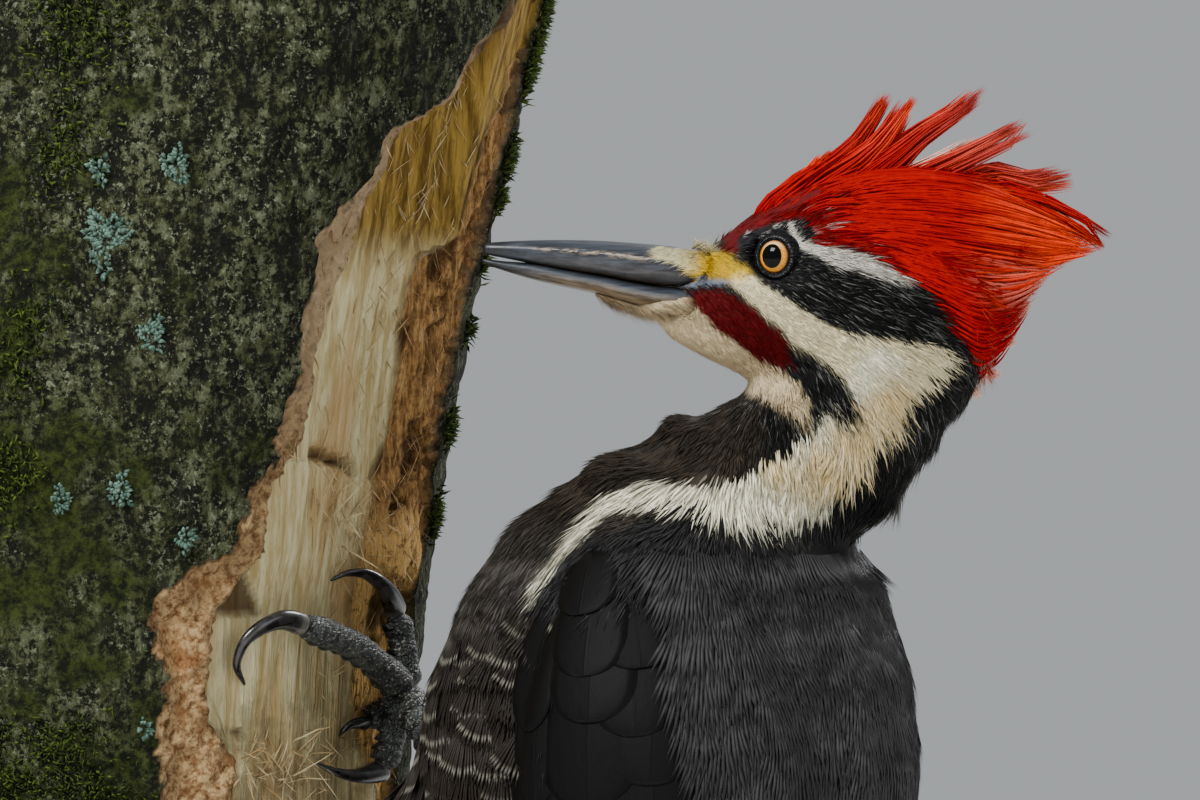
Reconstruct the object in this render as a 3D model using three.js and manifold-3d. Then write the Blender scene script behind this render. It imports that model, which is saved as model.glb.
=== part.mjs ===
// A male pileated woodpecker at life size, clinging to a cut length of tree trunk that two rods hold
// above a flat display base. Millimetres, +Z up. The origin is the centre of the base's underside.
// The bird clings to the +X side of the trunk. Its head is in profile, bill towards -X.
import * as THREE from 'three';
import { LoftGeometry } from 'three/addons/geometries/LoftGeometry.js';
import { mergeVertices } from 'three/addons/utils/BufferGeometryUtils.js';
import Module from 'manifold-3d';

const wasm = await Module();
wasm.setup();

// ---- driving dimensions -------------------------------------------------------------------------

const GAP = 0.35; // clearance between two pieces that meet
const DEG = Math.PI / 180;

const BASE = { length: 270, width: 210, height: 14, corner: 30, bevel: 2 };
const ROD = { radius: 7, height: 30, spacing: 76 };
const LOG = { bottom: BASE.height + ROD.height, top: 488, radius: 90, flare: 5, lineY: 10 };
// How far the trunk's centre line stands off the origin at each height: [z, x].
const LOG_LINE = [[44, -38], [140, -33], [283, -20], [379, -7], [488, 18]];
// The pit that the bird has dug: [z, left edge, right edge] as turns round the trunk from -Y.
const PIT_EDGES = [
  [236, 44, 58], [262, 30, 72], [303, 20, 77], [341, 23, 78], [379, 35, 77], [434, 42, 73], [470, 58, 71],
  [500, 62, 70],
];
const PIT = { depth: 11, wall: 5, top: 500, bottom: 236 };

// The bird's body stands upright in its own plane, turned from the picture of a pure side view.
const YAW = 25 * DEG;
const BODY_LINE_X = -20; // the trunk-side line that distances to the body are counted from
const BACK = new THREE.Vector3(Math.cos(YAW), -Math.sin(YAW), 0);
const LEFT = new THREE.Vector3(-Math.sin(YAW), -Math.cos(YAW), 0);
const UP = new THREE.Vector3(0, 0, 1);
const HEAD_Y = -82; // the head's middle plane

// Body sections: [z, distance out from the line, half depth, half width].
const BODY = [
  [102, 96, 12, 12], [121, 109, 15, 15], [141, 124, 22, 20], [165, 138, 31, 27], [188, 149, 41, 36],
  [212, 157, 50, 44], [236, 163, 57, 49], [260, 167, 61, 52], [284, 169, 62, 53], [307, 171, 59, 52],
  [331, 172.5, 50.5, 46], [345, 174, 42.5, 41], [357, 178, 33, 34], [366, 183, 20, 22], [369, 184.5, 9, 10],
];
const BODY_BOTTOM = 122; // the body proper ends here, and the rows below it only carry the wing tips

// Neck sections: [x, y, z, half depth, half width, yaw in degrees].
const NECK = [
  [142, -63, 331, 36, 36, 25],
  [152, -68.5, 350, 28, 29, 19],
  [163.5, -75, 362, 22.5, 24, 10],
  [178, -80.5, 373.5, 23.6, 22.5, 3],
  [187, -82, 390, 21.5, 21, 0],
];

// Head sections from the bill back: [x, top, bottom, half width].
const HEAD = [
  [127, 414.5, 401, 3], [134, 415.6, 396, 6], [140, 415.8, 392.2, 9], [146, 417.6, 389.2, 12.2],
  [152, 421.4, 386, 14.6], [159, 425.4, 382, 16.8], [168, 428, 376, 18.8], [178, 428.8, 372, 20.2],
  [188, 427, 370, 20.6], [197, 422.8, 371, 19.6], [204, 415.5, 374, 17], [209, 405, 380, 12.4], [211.5, 398, 387, 6],
];

// Bill: [x, top, bottom, half width] of each half, from the tip back.
const BILL_UPPER = [
  [90.6, 415.9, 413.7, 1.0], [92.5, 416.3, 413.1, 1.7], [101.7, 416.8, 411.5, 3.3], [110, 416.9, 409.9, 4.6],
  [118.3, 416.7, 408.5, 5.7], [126, 416.2, 407, 6.9], [133, 415.6, 405.9, 7.9], [142, 414.6, 405.2, 8.4],
  [152, 412.5, 404.9, 7.6],
];
const BILL_LOWER = [
  [90.2, 412.4, 411.7, 0.9], [92.4, 412.2, 410.6, 1.6], [101.7, 411, 406.7, 3.1], [110, 409.5, 404.9, 4.3],
  [118.3, 408.1, 403.2, 5.4], [126, 406.6, 401.4, 6.6], [133, 405.5, 400, 7.6], [142, 404.8, 398.6, 8.2],
  [152, 404.4, 398.4, 7.4],
];

const EYE = { x: 159.5, z: 413, radius: 5.4, out: 12.3 }; // out: from the head's middle to the eye's centre

// Crest sections from the forehead back: [x, top, bottom, half width].
const CREST = [
  [143, 416, 413, 3], [152, 424, 415, 8.5], [166, 432.4, 421, 11.5], [180, 436.6, 416.5, 12], [194.5, 435.4, 408, 11.5],
  [208, 431.5, 387, 9.5], [218, 427.8, 395, 6.8], [228, 423.4, 408.4, 4.2], [235, 418.6, 413.8, 1.8],
  [237.4, 416.8, 415, 0.8],
];
// Loose locks of the crest: root, middle and tip as [x, z], and the sideways place of the tip.
const LOCKS = [
  { at: [[164, 427], [176, 438.5], [185.5, 449]], side: -2 },
  { at: [[171, 430], [186, 441], [196.5, 448]], side: 3 },
  { at: [[178, 432], [196, 442], [209.5, 452]], side: -1 },
  { at: [[184, 430], [204, 438.5], [218.5, 443.5]], side: 2 },
  { at: [[194, 426], [214, 430], [228.5, 432]], side: -3 },
];
const LOCK = { height: 3.2, thickness: 1.7 };

// The folded wing on the body's flank: [z, middle turn from the back's midline, half turn, thickness].
const WING = [
  [353, 80, 7, 3], [346, 78, 17, 6], [334, 75, 25, 8], [310, 71, 31, 9], [270, 66, 36, 9],
  [225, 58, 38, 8], [180, 46, 34, 6.5], [145, 36, 26, 4.6], [120, 30, 16, 3], [108, 28, 6, 2],
];

// Tail: the middle feather's line in the body's plane, [distance out, z] from root to tip.
const TAIL_LINE = [[135, 172], [122, 144], [105, 110], [83.5, 66]];
const TAIL = { pairs: 5, width: 15, thickness: 1.6, rootStep: 4, tipStep: 8, layer: 0.75 };
const TAIL_LENGTHS = [1, 0.98, 0.92, 0.82, 0.66]; // of each pair, from the middle out

// Feet. A toe is a line of [x, z, height over the wood], and its claw's line goes on from its end.
const LEFT_FOOT = {
  name: 'left',
  joint: [71, 308, 8],
  ankle: [88, -45, 274],
  toes: [
    { name: 'outer_front', toe: [[59, 319, 7], [46.8, 324.6, 5.5]],
      claw: [[41.3, 325.9, 6.8], [34, 321.8, 6], [31.2, 315.6, 3.6], [33, 310.2, 0.6]] },
    { name: 'inner_front', toe: [[70.2, 317.5, 7], [68.6, 327.2, 5.5]],
      claw: [[66.5, 332.4, 7], [62, 336.4, 6], [57, 336.8, 3.4], [53, 335, 0.6]] },
    { name: 'outer_back', toe: [[68, 299, 6.5], [65.4, 288.6, 5]],
      claw: [[61, 287.6, 5.8], [57, 287.9, 5], [53, 289.2, 3], [49.2, 291, 0.6]] },
    { name: 'hallux', toe: [[66, 303.5, 4], [61.5, 300.5, 3.4]],
      claw: [[59.5, 300.4, 3.6], [57.5, 299.8, 3], [56, 298.6, 2], [55, 297, 0.6]] },
  ],
};
// The right foot holds on lower and further round: the same foot, mirrored in turn and shifted.
const RIGHT_SHIFT = { turn: 150, z: -54 };
const RIGHT_ANKLE = [88, -30, 229];
const TOE = { joint: 4, knuckle: 3.4, end: 3.1 };
const CLAW = { root: 2.4, bend: 1.7, tip: 0.45 };
const SHANK = { foot: 3.6, ankle: 4 };
const THIGHS = [
  { name: 'left', out: 117, side: 20, z: 268 },
  { name: 'right', out: 114, side: -20, z: 236 },
];
const THIGH = { depth: 15, width: 13, height: 25 };

// ---- helpers ------------------------------------------------------------------------------------

// Values between the rows of a table whose first column rises or falls: a smooth curve through them.
function between(rows, key) {
  const rising = rows[rows.length - 1][0] > rows[0][0];
  let i = 1;
  while (i < rows.length - 1 && (rising ? key > rows[i][0] : key < rows[i][0])) i += 1;
  const row = (k) => rows[THREE.MathUtils.clamp(k, 0, rows.length - 1)];
  const [before, start, end, after] = [row(i - 2), row(i - 1), row(i), row(i + 1)];
  const span = end[0] - start[0];
  const t = THREE.MathUtils.clamp((key - start[0]) / span, 0, 1);
  return start.slice(1).map((_, c) => {
    const k = c + 1;
    const slopeIn = before === start ? (end[k] - start[k]) / span : (end[k] - before[k]) / (end[0] - before[0]);
    const slopeOut = after === end ? (end[k] - start[k]) / span : (after[k] - start[k]) / (after[0] - start[0]);
    const [a, b] = [slopeIn * span, slopeOut * span];
    const [t2, t3] = [t * t, t * t * t];
    return (2 * t3 - 3 * t2 + 1) * start[k] + (t3 - 2 * t2 + t) * a + (3 * t2 - 2 * t3) * end[k] + (t3 - t2) * b;
  });
}

// A closed manifold-3d solid from any closed geometry.
function toSolid(geometry) {
  const bare = new THREE.BufferGeometry();
  const source = geometry.index ? geometry.toNonIndexed() : geometry;
  bare.setAttribute('position', source.getAttribute('position'));
  const merged = mergeVertices(bare, 1e-3);
  const corners = merged.index.array;
  const kept = [];
  for (let i = 0; i < corners.length; i += 3) {
    const [a, b, c] = [corners[i], corners[i + 1], corners[i + 2]];
    if (a !== b && b !== c && c !== a) kept.push(a, b, c);
  }
  const build = (triVerts) =>
    new wasm.Manifold(new wasm.Mesh({ numProp: 3, vertProperties: merged.attributes.position.array, triVerts }));
  const solid = build(new Uint32Array(kept));
  return solid.volume() > 0 ? solid : build(new Uint32Array(kept).reverse());
}

// The geometry of a solid, keeping only its largest body, so that no crumb of a cut is left.
function toGeometry(solid) {
  const bodies = solid.decompose();
  const largest = bodies.reduce((a, b) => (b.volume() > a.volume() ? b : a));
  const mesh = largest.getMesh();
  const geometry = new THREE.BufferGeometry();
  geometry.setAttribute('position', new THREE.Float32BufferAttribute(mesh.vertProperties, 3));
  geometry.setIndex(Array.from(mesh.triVerts));
  geometry.computeVertexNormals();
  return geometry;
}

// A solid skinned over rings of points, each end drawn in to the middle of its ring.
function loft(sections) {
  const pole = (ring) => {
    const middle = ring.reduce((sum, point) => sum.add(point), new THREE.Vector3()).divideScalar(ring.length);
    return ring.map(() => middle.clone());
  };
  const rings = [pole(sections[0]), ...sections, pole(sections[sections.length - 1])];
  return toSolid(new LoftGeometry(rings, { capStart: false, capEnd: false }));
}

// One oval section: sides points round a centre, reaching u one way and v the other.
function oval(centre, u, v, sides, squareness = 1) {
  return Array.from({ length: sides }, (_, j) => {
    const turn = (j / sides) * 2 * Math.PI;
    const swell = (w) => Math.sign(w) * Math.abs(w) ** squareness;
    return centre.clone().addScaledVector(u, swell(Math.cos(turn))).addScaledVector(v, swell(Math.sin(turn)));
  });
}

// A round tapering limb through points, with a radius at each.
function limb(points, radii, sides, rings, flat = 1) {
  const curve = new THREE.CatmullRomCurve3(points, false, 'centripetal');
  const sections = [];
  for (let i = 0; i <= rings; i += 1) {
    const t = i / rings;
    const tangent = curve.getTangent(t);
    const side = new THREE.Vector3().crossVectors(tangent, Math.abs(tangent.z) > 0.9 ? BACK : UP).normalize();
    const across = new THREE.Vector3().crossVectors(tangent, side).normalize();
    const place = t * (radii.length - 1);
    const k = Math.min(Math.floor(place), radii.length - 2);
    const radius = THREE.MathUtils.lerp(radii[k], radii[k + 1], place - k);
    sections.push(oval(curve.getPoint(t), side.multiplyScalar(radius * flat), across.multiplyScalar(radius), sides));
  }
  return loft(sections);
}

const group = new THREE.Group();
const materials = {};
function material(name, color, roughness, metalness = 0) {
  materials[name] = new THREE.MeshStandardMaterial({ name, color, roughness, metalness });
}
material('black_plumage', 0x1c1a19, 0.7);
material('white_plumage', 0xd9d2b4, 0.8);
material('red_plumage', 0xc01408, 0.7);
material('horn', 0x2a2d31, 0.35);
material('eye', 0xc98a2b, 0.08);
material('scales', 0x3a4140, 0.6);
material('claw_horn', 0x17130f, 0.3);
material('bark', 0x3c3a2c, 0.95);
material('stand_wood', 0x6b5a48, 0.5);
material('stand_metal', 0x77797c, 0.35, 0.9);

function add(name, solid, materialName) {
  const mesh = new THREE.Mesh(toGeometry(solid), materials[materialName]);
  mesh.name = name;
  group.add(mesh);
}

// ---- trunk --------------------------------------------------------------------------------------

const ease = (x) => THREE.MathUtils.smoothstep(x, 0, 1);

// How deep the pit is at a turn (degrees from -Y towards +X) and height: steep walls, a flat floor.
function pitDepth(turn, z) {
  if (z < PIT.bottom || z > PIT.top) return 0;
  const [left, right] = between(PIT_EDGES, z);
  const wall = Math.min(PIT.wall, (right - left) / 3);
  const inside = Math.min((turn - left) / wall, (right - turn) / wall);
  const floor = 0.55 + 0.45 * ease((right - turn) / 22); // shallower towards the right
  return PIT.depth * ease(inside) * floor * ease((z - PIT.bottom) / 30);
}

function logRadius(turn, z) {
  const flare = LOG.flare * ((LOG.top - z) / (LOG.top - LOG.bottom)) ** 2;
  const lobes = 1.6 * Math.sin(3 * turn * DEG + 0.6) + 1.1 * Math.sin(5 * turn * DEG + z / 70);
  return LOG.radius + flare + lobes - pitDepth(turn, z);
}

// A point over the trunk's surface.
function onLog(turn, z, height = 0) {
  const radius = logRadius(turn, z) + height;
  const [centre] = between(LOG_LINE, z);
  return new THREE.Vector3(centre + radius * Math.sin(turn * DEG), LOG.lineY - radius * Math.cos(turn * DEG), z);
}

// The turn at which a point at this height over the wood lies at x, on the side that faces -Y.
function turnAt(x, z, height) {
  let [low, high] = [0, 90];
  for (let step = 0; step < 20; step += 1) {
    const middle = (low + high) / 2;
    if (onLog(middle, z, height).x < x) low = middle;
    else high = middle;
  }
  return low;
}

// The turns of one ring's corners: they follow the pit's walls and floor, then go evenly round the back.
function ringTurns(z) {
  const [left, right] = between(PIT_EDGES, Math.max(z, PIT.bottom));
  const wall = Math.min(PIT.wall, (right - left) / 3);
  const [floorSteps, backSteps] = [4, 18];
  const floor = Array.from({ length: floorSteps + 1 }, (_, i) =>
    THREE.MathUtils.lerp(left + wall, right - wall, i / floorSteps));
  const back = Array.from({ length: backSteps - 1 }, (_, i) =>
    THREE.MathUtils.lerp(right, left + 360, (i + 1) / backSteps));
  return [left, ...floor, right, ...back];
}

function logSolid() {
  const [rings, ringsBelowPit] = [17, 5];
  const sections = Array.from({ length: rings + 1 }, (_, i) => {
    const z = i < ringsBelowPit
      ? THREE.MathUtils.lerp(LOG.bottom, PIT.bottom, i / ringsBelowPit)
      : THREE.MathUtils.lerp(PIT.bottom, LOG.top, (i - ringsBelowPit) / (rings - ringsBelowPit));
    return ringTurns(z).map((turn) => onLog(turn, z));
  });
  return loft(sections);
}

// ---- bird ---------------------------------------------------------------------------------------

const inPlane = (out, z) =>
  new THREE.Vector3(BODY_LINE_X, LOG.lineY, z).addScaledVector(BACK, out);

// A point on the body's surface at a turn from the back's midline towards the bird's left.
function onBody(z, turn, height = 0) {
  const [out, depth, width] = between(BODY, z);
  return inPlane(out, z)
    .addScaledVector(BACK, (depth + height) * Math.cos(turn))
    .addScaledVector(LEFT, (width + height) * Math.sin(turn));
}

function torsoSolid(grow = 0) {
  const [rings, sides] = [12, 20];
  const top = BODY[BODY.length - 1][0];
  const sections = Array.from({ length: rings + 1 }, (_, i) => {
    const t = i / rings;
    const z = THREE.MathUtils.lerp(BODY_BOTTOM - grow, top, 1 - (1 - t) ** 1.35);
    return Array.from({ length: sides }, (__, j) => onBody(z, (j / sides) * 2 * Math.PI, grow));
  });
  return loft(sections);
}

function neckSolid() {
  const centres = NECK.map(([x, y, z]) => new THREE.Vector3(x, y, z));
  const curve = new THREE.CatmullRomCurve3(centres);
  const table = NECK.map((row, i) => [i / (NECK.length - 1), row[3], row[4], row[5]]);
  const rings = 6;
  return loft(Array.from({ length: rings + 1 }, (_, i) => {
    const t = i / rings;
    const [depth, width, yaw] = between(table, t);
    const side = new THREE.Vector3(-Math.sin(yaw * DEG), -Math.cos(yaw * DEG), 0);
    const tangent = curve.getTangent(t);
    const across = new THREE.Vector3().crossVectors(side, tangent).normalize();
    return oval(curve.getPoint(t), across.multiplyScalar(depth), side.multiplyScalar(width), 18);
  }));
}

// A body of upright sections across the head's middle plane.
function profileSolid(rows, rings, sides, grow = 0, squareness = 1) {
  const [first, last] = [rows[0][0], rows[rows.length - 1][0]];
  return loft(Array.from({ length: rings + 1 }, (_, i) => {
    const x = THREE.MathUtils.lerp(first, last, i / rings);
    const [top, bottom, halfWidth] = between(rows, x);
    const centre = new THREE.Vector3(x + (i === 0 ? -grow : 0) + (i === rings ? grow : 0), HEAD_Y, (top + bottom) / 2);
    const [up, side] = [UP.clone(), new THREE.Vector3(0, -1, 0)];
    return oval(
      centre, up.multiplyScalar((top - bottom) / 2 + grow), side.multiplyScalar(halfWidth + grow), sides, squareness,
    );
  }));
}

function eyeSolid(side, grow = 0) {
  const ball = new THREE.SphereGeometry(EYE.radius + grow, 12, 7);
  ball.translate(EYE.x, HEAD_Y - side * EYE.out, EYE.z);
  return toSolid(ball);
}

function crestSolid(grow = 0) {
  const whole = LOCKS.map(({ at, side }) => {
    const points = at.map(([x, z], i) => new THREE.Vector3(x, HEAD_Y + (side * i) / 2, z));
    const radii = [LOCK.height, LOCK.height * 0.85, 0.9].map((r) => r + grow);
    return limb(points, radii, 6, 3, LOCK.thickness / LOCK.height);
  });
  return wasm.Manifold.union([profileSolid(CREST, 10, 12, grow, 0.9), ...whole]);
}

function wingSolid(side, grow = 0) {
  const [rings, sides] = [11, 10];
  const [first, last] = [WING[0][0], WING[WING.length - 1][0]];
  const sections = Array.from({ length: rings + 1 }, (_, i) => {
    const t = i / rings;
    const z = THREE.MathUtils.lerp(first, last, t ** 1.15);
    const [middle, half, thickness] = between(WING, z);
    return Array.from({ length: sides }, (__, j) => {
      const round = (j / sides) * 2 * Math.PI;
      const edge = Math.sign(Math.cos(round)) * Math.abs(Math.cos(round)) ** 0.8;
      const turn = (middle + half * edge) * DEG + (grow / 45) * edge;
      const height = 1.2 + (thickness / 2 + grow) * Math.sin(round);
      return onBody(z, side * turn, height);
    });
  });
  return loft(sections);
}

// One tail feather: a flat tapering blade that lies pair steps outwards from the middle.
function tailFeather(step, grow) {
  const length = TAIL_LENGTHS[Math.abs(step)];
  const line = new THREE.CatmullRomCurve3(TAIL_LINE.map(([out, z]) => inPlane(out, z)));
  const rings = 5;
  return loft(Array.from({ length: rings + 1 }, (_, i) => {
    const t = i / rings;
    const along = t * length;
    const tangent = line.getTangent(along);
    const outward = new THREE.Vector3().crossVectors(LEFT, tangent).normalize();
    const spread = step * THREE.MathUtils.lerp(TAIL.rootStep, TAIL.tipStep, along);
    const centre = line.getPoint(along).addScaledVector(LEFT, spread);
    centre.addScaledVector(outward, -Math.abs(step) * TAIL.layer - 0.03 * spread * spread);
    const taper = t < 0.72 ? 0.75 + 0.25 * ease(t / 0.3) : 1 - 0.88 * ((t - 0.72) / 0.28) ** 1.6;
    return oval(
      centre, LEFT.clone().multiplyScalar((TAIL.width / 2) * taper + grow),
      outward.multiplyScalar(TAIL.thickness / 2 + grow), 6, 0.8,
    );
  }));
}

function tailSolid(grow = 0) {
  const steps = Array.from({ length: 2 * TAIL.pairs - 1 }, (_, i) => i - TAIL.pairs + 1);
  return wasm.Manifold.union(steps.map((step) => tailFeather(step, grow)));
}

function thighSolid({ out, side, z }, grow = 0) {
  const ball = new THREE.SphereGeometry(1, 10, 8);
  ball.scale(THIGH.depth + grow, THIGH.width + grow, THIGH.height + grow);
  ball.rotateZ(-YAW);
  ball.translate(...inPlane(out, z).addScaledVector(LEFT, side).toArray());
  return toSolid(ball);
}

// The whole foot on the wood, with each toe and claw as a solid of its own.
function footParts({ name, joint, ankle, toes }, place) {
  const knuckle = place(joint);
  const parts = toes.map((toe) => {
    const toeLine = [knuckle, ...toe.toe.map(place)];
    const clawLine = [toeLine[toeLine.length - 1], ...toe.claw.map(place)];
    const direction = clawLine[1].clone().sub(clawLine[0]).normalize();
    clawLine[0].addScaledVector(direction, -0.8);
    const clawRadii = [CLAW.root, CLAW.bend, CLAW.tip];
    return {
      label: `${toe.name}_${name}`,
      toe: (grow) => limb(toeLine, [TOE.joint, TOE.knuckle, TOE.end].map((r) => r + grow), 6, 4),
      claw: (grow) => limb(clawLine, clawRadii.map((r) => r + grow), 6, 6),
    };
  });
  const heel = new THREE.Vector3(...ankle);
  const shank = (grow) => limb([knuckle, heel], [SHANK.foot + grow, SHANK.ankle + grow], 8, 2);
  return { name, shank, parts };
}

const FEET = [
  footParts(LEFT_FOOT, ([x, z, height]) => onLog(turnAt(x, z, height), z, height)),
  footParts({ ...LEFT_FOOT, name: 'right', ankle: RIGHT_ANKLE }, ([x, z, height]) =>
    onLog(RIGHT_SHIFT.turn - turnAt(x, z, height), z + RIGHT_SHIFT.z, height)),
];

// ---- assembly -----------------------------------------------------------------------------------

// The flesh is one form, parted at the neck's two ends by thin cuts.
const cutPlate = (centre, normal) => {
  const plate = new THREE.BoxGeometry(140, 140, GAP);
  plate.applyQuaternion(new THREE.Quaternion().setFromUnitVectors(UP, normal.clone().normalize()));
  plate.translate(...centre.toArray());
  return toSolid(plate);
};
const halfSpace = (centre, normal) => {
  const block = new THREE.BoxGeometry(400, 400, 400);
  block.translate(0, 0, 200 + GAP / 2);
  block.applyQuaternion(new THREE.Quaternion().setFromUnitVectors(UP, normal.clone().normalize()));
  block.translate(...centre.toArray());
  return toSolid(block);
};

const crest = crestSolid();
const eyes = { left: eyeSolid(1), right: eyeSolid(-1) };
const billUpper = profileSolid(BILL_UPPER, 9, 10, 0, 0.85);
const billLower = profileSolid(BILL_LOWER, 9, 10, 0, 0.85);
const wings = { left: wingSolid(1), right: wingSolid(-1) };
const tail = tailSolid();

let flesh = wasm.Manifold.union([torsoSolid(), neckSolid(), profileSolid(HEAD, 11, 18)]);
const taken = [
  crestSolid(GAP), eyeSolid(1, GAP), eyeSolid(-1, GAP), profileSolid(BILL_UPPER, 9, 10, GAP, 0.85),
  profileSolid(BILL_LOWER, 9, 10, GAP, 0.85), wingSolid(1, GAP), wingSolid(-1, GAP), tailSolid(GAP),
  ...THIGHS.map((thigh) => thighSolid(thigh, GAP)),
];
flesh = taken.reduce((solid, tool) => solid.subtract(tool), flesh);

const HEAD_CUT = [new THREE.Vector3(186, HEAD_Y, 381), new THREE.Vector3(0.2, 0, 1)];
const NECK_CUT = [new THREE.Vector3(150, -68, 349), new THREE.Vector3(0.55, -0.1, 1)];
const head = flesh.intersect(halfSpace(...HEAD_CUT));
const belowHead = flesh.intersect(halfSpace(HEAD_CUT[0], HEAD_CUT[1].clone().negate()));
const neck = belowHead.intersect(halfSpace(...NECK_CUT));
const torso = belowHead.intersect(halfSpace(NECK_CUT[0], NECK_CUT[1].clone().negate()));

add('head', head.subtract(cutPlate(...HEAD_CUT)), 'white_plumage');
add('neck', neck, 'white_plumage');
add('torso', torso, 'black_plumage');
const billUpperGrown = profileSolid(BILL_UPPER, 9, 10, GAP, 0.85);
add('crest', crest.subtract(billUpperGrown), 'red_plumage');
add('bill_upper', billUpper, 'horn');
add('bill_lower', billLower.subtract(billUpperGrown), 'horn');
for (const side of ['left', 'right']) {
  add(`eye_${side}`, eyes[side], 'eye');
  add(`wing_${side}`, wings[side], 'black_plumage');
}
add('tail', tail.subtract(wingSolid(1, GAP)).subtract(wingSolid(-1, GAP)), 'black_plumage');

const torsoGrown = torsoSolid(GAP);
const thighsGrown = THIGHS.map((thigh) => thighSolid(thigh, GAP));
for (const thigh of THIGHS) {
  const other = thighsGrown[thigh.name === 'left' ? 1 : 0];
  add(`thigh_${thigh.name}`, thighSolid(thigh).subtract(wingSolid(1, GAP)).subtract(wingSolid(-1, GAP)).subtract(other),
    'black_plumage');
}

// Each toe is cut by the shank and by the toes before it, so that the foot's pieces only meet.
let logBlock = logSolid();
for (const foot of FEET) {
  const covers = [torsoGrown, ...thighsGrown];
  add(`shank_${foot.name}`, covers.reduce((solid, tool) => solid.subtract(tool), foot.shank(0)), 'scales');
  const before = [foot.shank(GAP)];
  for (const { label, toe, claw } of foot.parts) {
    const cutters = [...before, ...covers];
    add(`toe_${label}`, cutters.reduce((solid, tool) => solid.subtract(tool), toe(0)), 'scales');
    const clear = [...foot.parts.map((part) => part.toe(GAP)), ...covers];
    add(`claw_${label}`, clear.reduce((solid, tool) => solid.subtract(tool), claw(0)), 'claw_horn');
    before.push(toe(GAP));
    logBlock = logBlock.subtract(toe(GAP)).subtract(claw(GAP));
  }
  logBlock = logBlock.subtract(foot.shank(GAP));
}
add('perch_log', logBlock.subtract(tailSolid(GAP)), 'bark');

// ---- display stand ------------------------------------------------------------------------------

function baseSolid() {
  const { length, width, height, corner, bevel } = BASE;
  const [x, y] = [length / 2 - bevel, width / 2 - bevel];
  const outline = new THREE.Shape();
  outline.moveTo(-x + corner, -y);
  outline.lineTo(x - corner, -y);
  outline.absarc(x - corner, -y + corner, corner, -Math.PI / 2, 0);
  outline.absarc(x - corner, y - corner, corner, 0, Math.PI / 2);
  outline.absarc(-x + corner, y - corner, corner, Math.PI / 2, Math.PI);
  outline.absarc(-x + corner, -y + corner, corner, Math.PI, 1.5 * Math.PI);
  const plate = new THREE.ExtrudeGeometry(outline, {
    depth: height - 2 * bevel, bevelEnabled: true, bevelThickness: bevel, bevelSize: bevel, bevelSegments: 1,
    curveSegments: 4,
  });
  plate.translate(0, 0, bevel);
  return toSolid(plate);
}
add('stand_base', baseSolid(), 'stand_wood');

const [rodMiddle] = between(LOG_LINE, LOG.bottom);
['a', 'b'].forEach((label, i) => {
  const rod = new THREE.CylinderGeometry(ROD.radius, ROD.radius, ROD.height, 16);
  rod.rotateX(Math.PI / 2);
  rod.translate(rodMiddle + (i - 0.5) * ROD.spacing, LOG.lineY, BASE.height + ROD.height / 2);
  add(`stand_rod_${label}`, toSolid(rod), 'stand_metal');
});

export default group;
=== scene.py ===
"""A pileated woodpecker, life-size, clinging to a short length of trunk on a display stand.

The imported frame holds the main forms. This script gives them their looks: one skin under a coat of
mesh feathers, a horn bill, glossy eyes, scaled feet, a trunk with its fresh pit, and the stand.
Lengths are millimetres along the frame's own axes, and put() turns them into metres.
"""

import bmesh
import bpy
import numpy as np
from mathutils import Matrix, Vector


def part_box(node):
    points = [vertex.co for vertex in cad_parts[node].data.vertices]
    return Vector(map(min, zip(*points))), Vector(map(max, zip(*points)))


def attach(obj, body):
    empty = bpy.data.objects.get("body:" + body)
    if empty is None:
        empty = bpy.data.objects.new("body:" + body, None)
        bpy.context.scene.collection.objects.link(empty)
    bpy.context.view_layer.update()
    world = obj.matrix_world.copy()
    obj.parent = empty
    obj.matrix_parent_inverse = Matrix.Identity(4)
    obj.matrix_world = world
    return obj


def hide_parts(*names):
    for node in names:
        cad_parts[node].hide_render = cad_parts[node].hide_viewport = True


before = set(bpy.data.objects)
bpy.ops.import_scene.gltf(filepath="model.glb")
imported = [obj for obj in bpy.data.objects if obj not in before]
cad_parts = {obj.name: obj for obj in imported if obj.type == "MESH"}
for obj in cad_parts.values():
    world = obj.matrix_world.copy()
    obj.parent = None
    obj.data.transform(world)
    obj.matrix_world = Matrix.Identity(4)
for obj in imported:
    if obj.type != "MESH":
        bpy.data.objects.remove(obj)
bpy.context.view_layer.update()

# ---- places and sizes: the ones that the frame was made from ----

MM = 0.001
DEG = np.pi / 180
UP = np.array([0.0, 0.0, 1.0])
YAW = 25 * DEG
BACK = np.array([np.cos(YAW), -np.sin(YAW), 0.0])
LEFT = np.array([-np.sin(YAW), -np.cos(YAW), 0.0])
SIDES = ((1, "left"), (-1, "right"))
BODY_LINE_X = -20
HEAD_Y = -82

# Body: [z, distance out from the trunk's line, half depth, half width].
BODY = [
    [102, 96, 12, 12], [121, 109, 15, 15], [141, 124, 22, 20], [165, 138, 31, 27], [188, 149, 41, 36],
    [212, 157, 50, 44], [236, 163, 57, 49], [260, 167, 61, 52], [284, 169, 62, 53], [307, 171, 59, 52],
    [331, 172.5, 50.5, 46], [345, 174, 42.5, 41], [357, 178, 33, 34], [366, 183, 20, 22],
    [369, 184.5, 9, 10],
]
# The bird's middle plane: [z, x, y, yaw] of a point on it, straight over the body and turned over the neck.
MIDDLE = [
    [100, 125, -57.6, 25], [331, 142, -65.5, 25], [350, 152, -68.5, 19], [362, 163.5, -75, 10],
    [373.5, 178, -80.5, 3], [390, 187, -82, 0], [460, 187, -82, 0],
]
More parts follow.
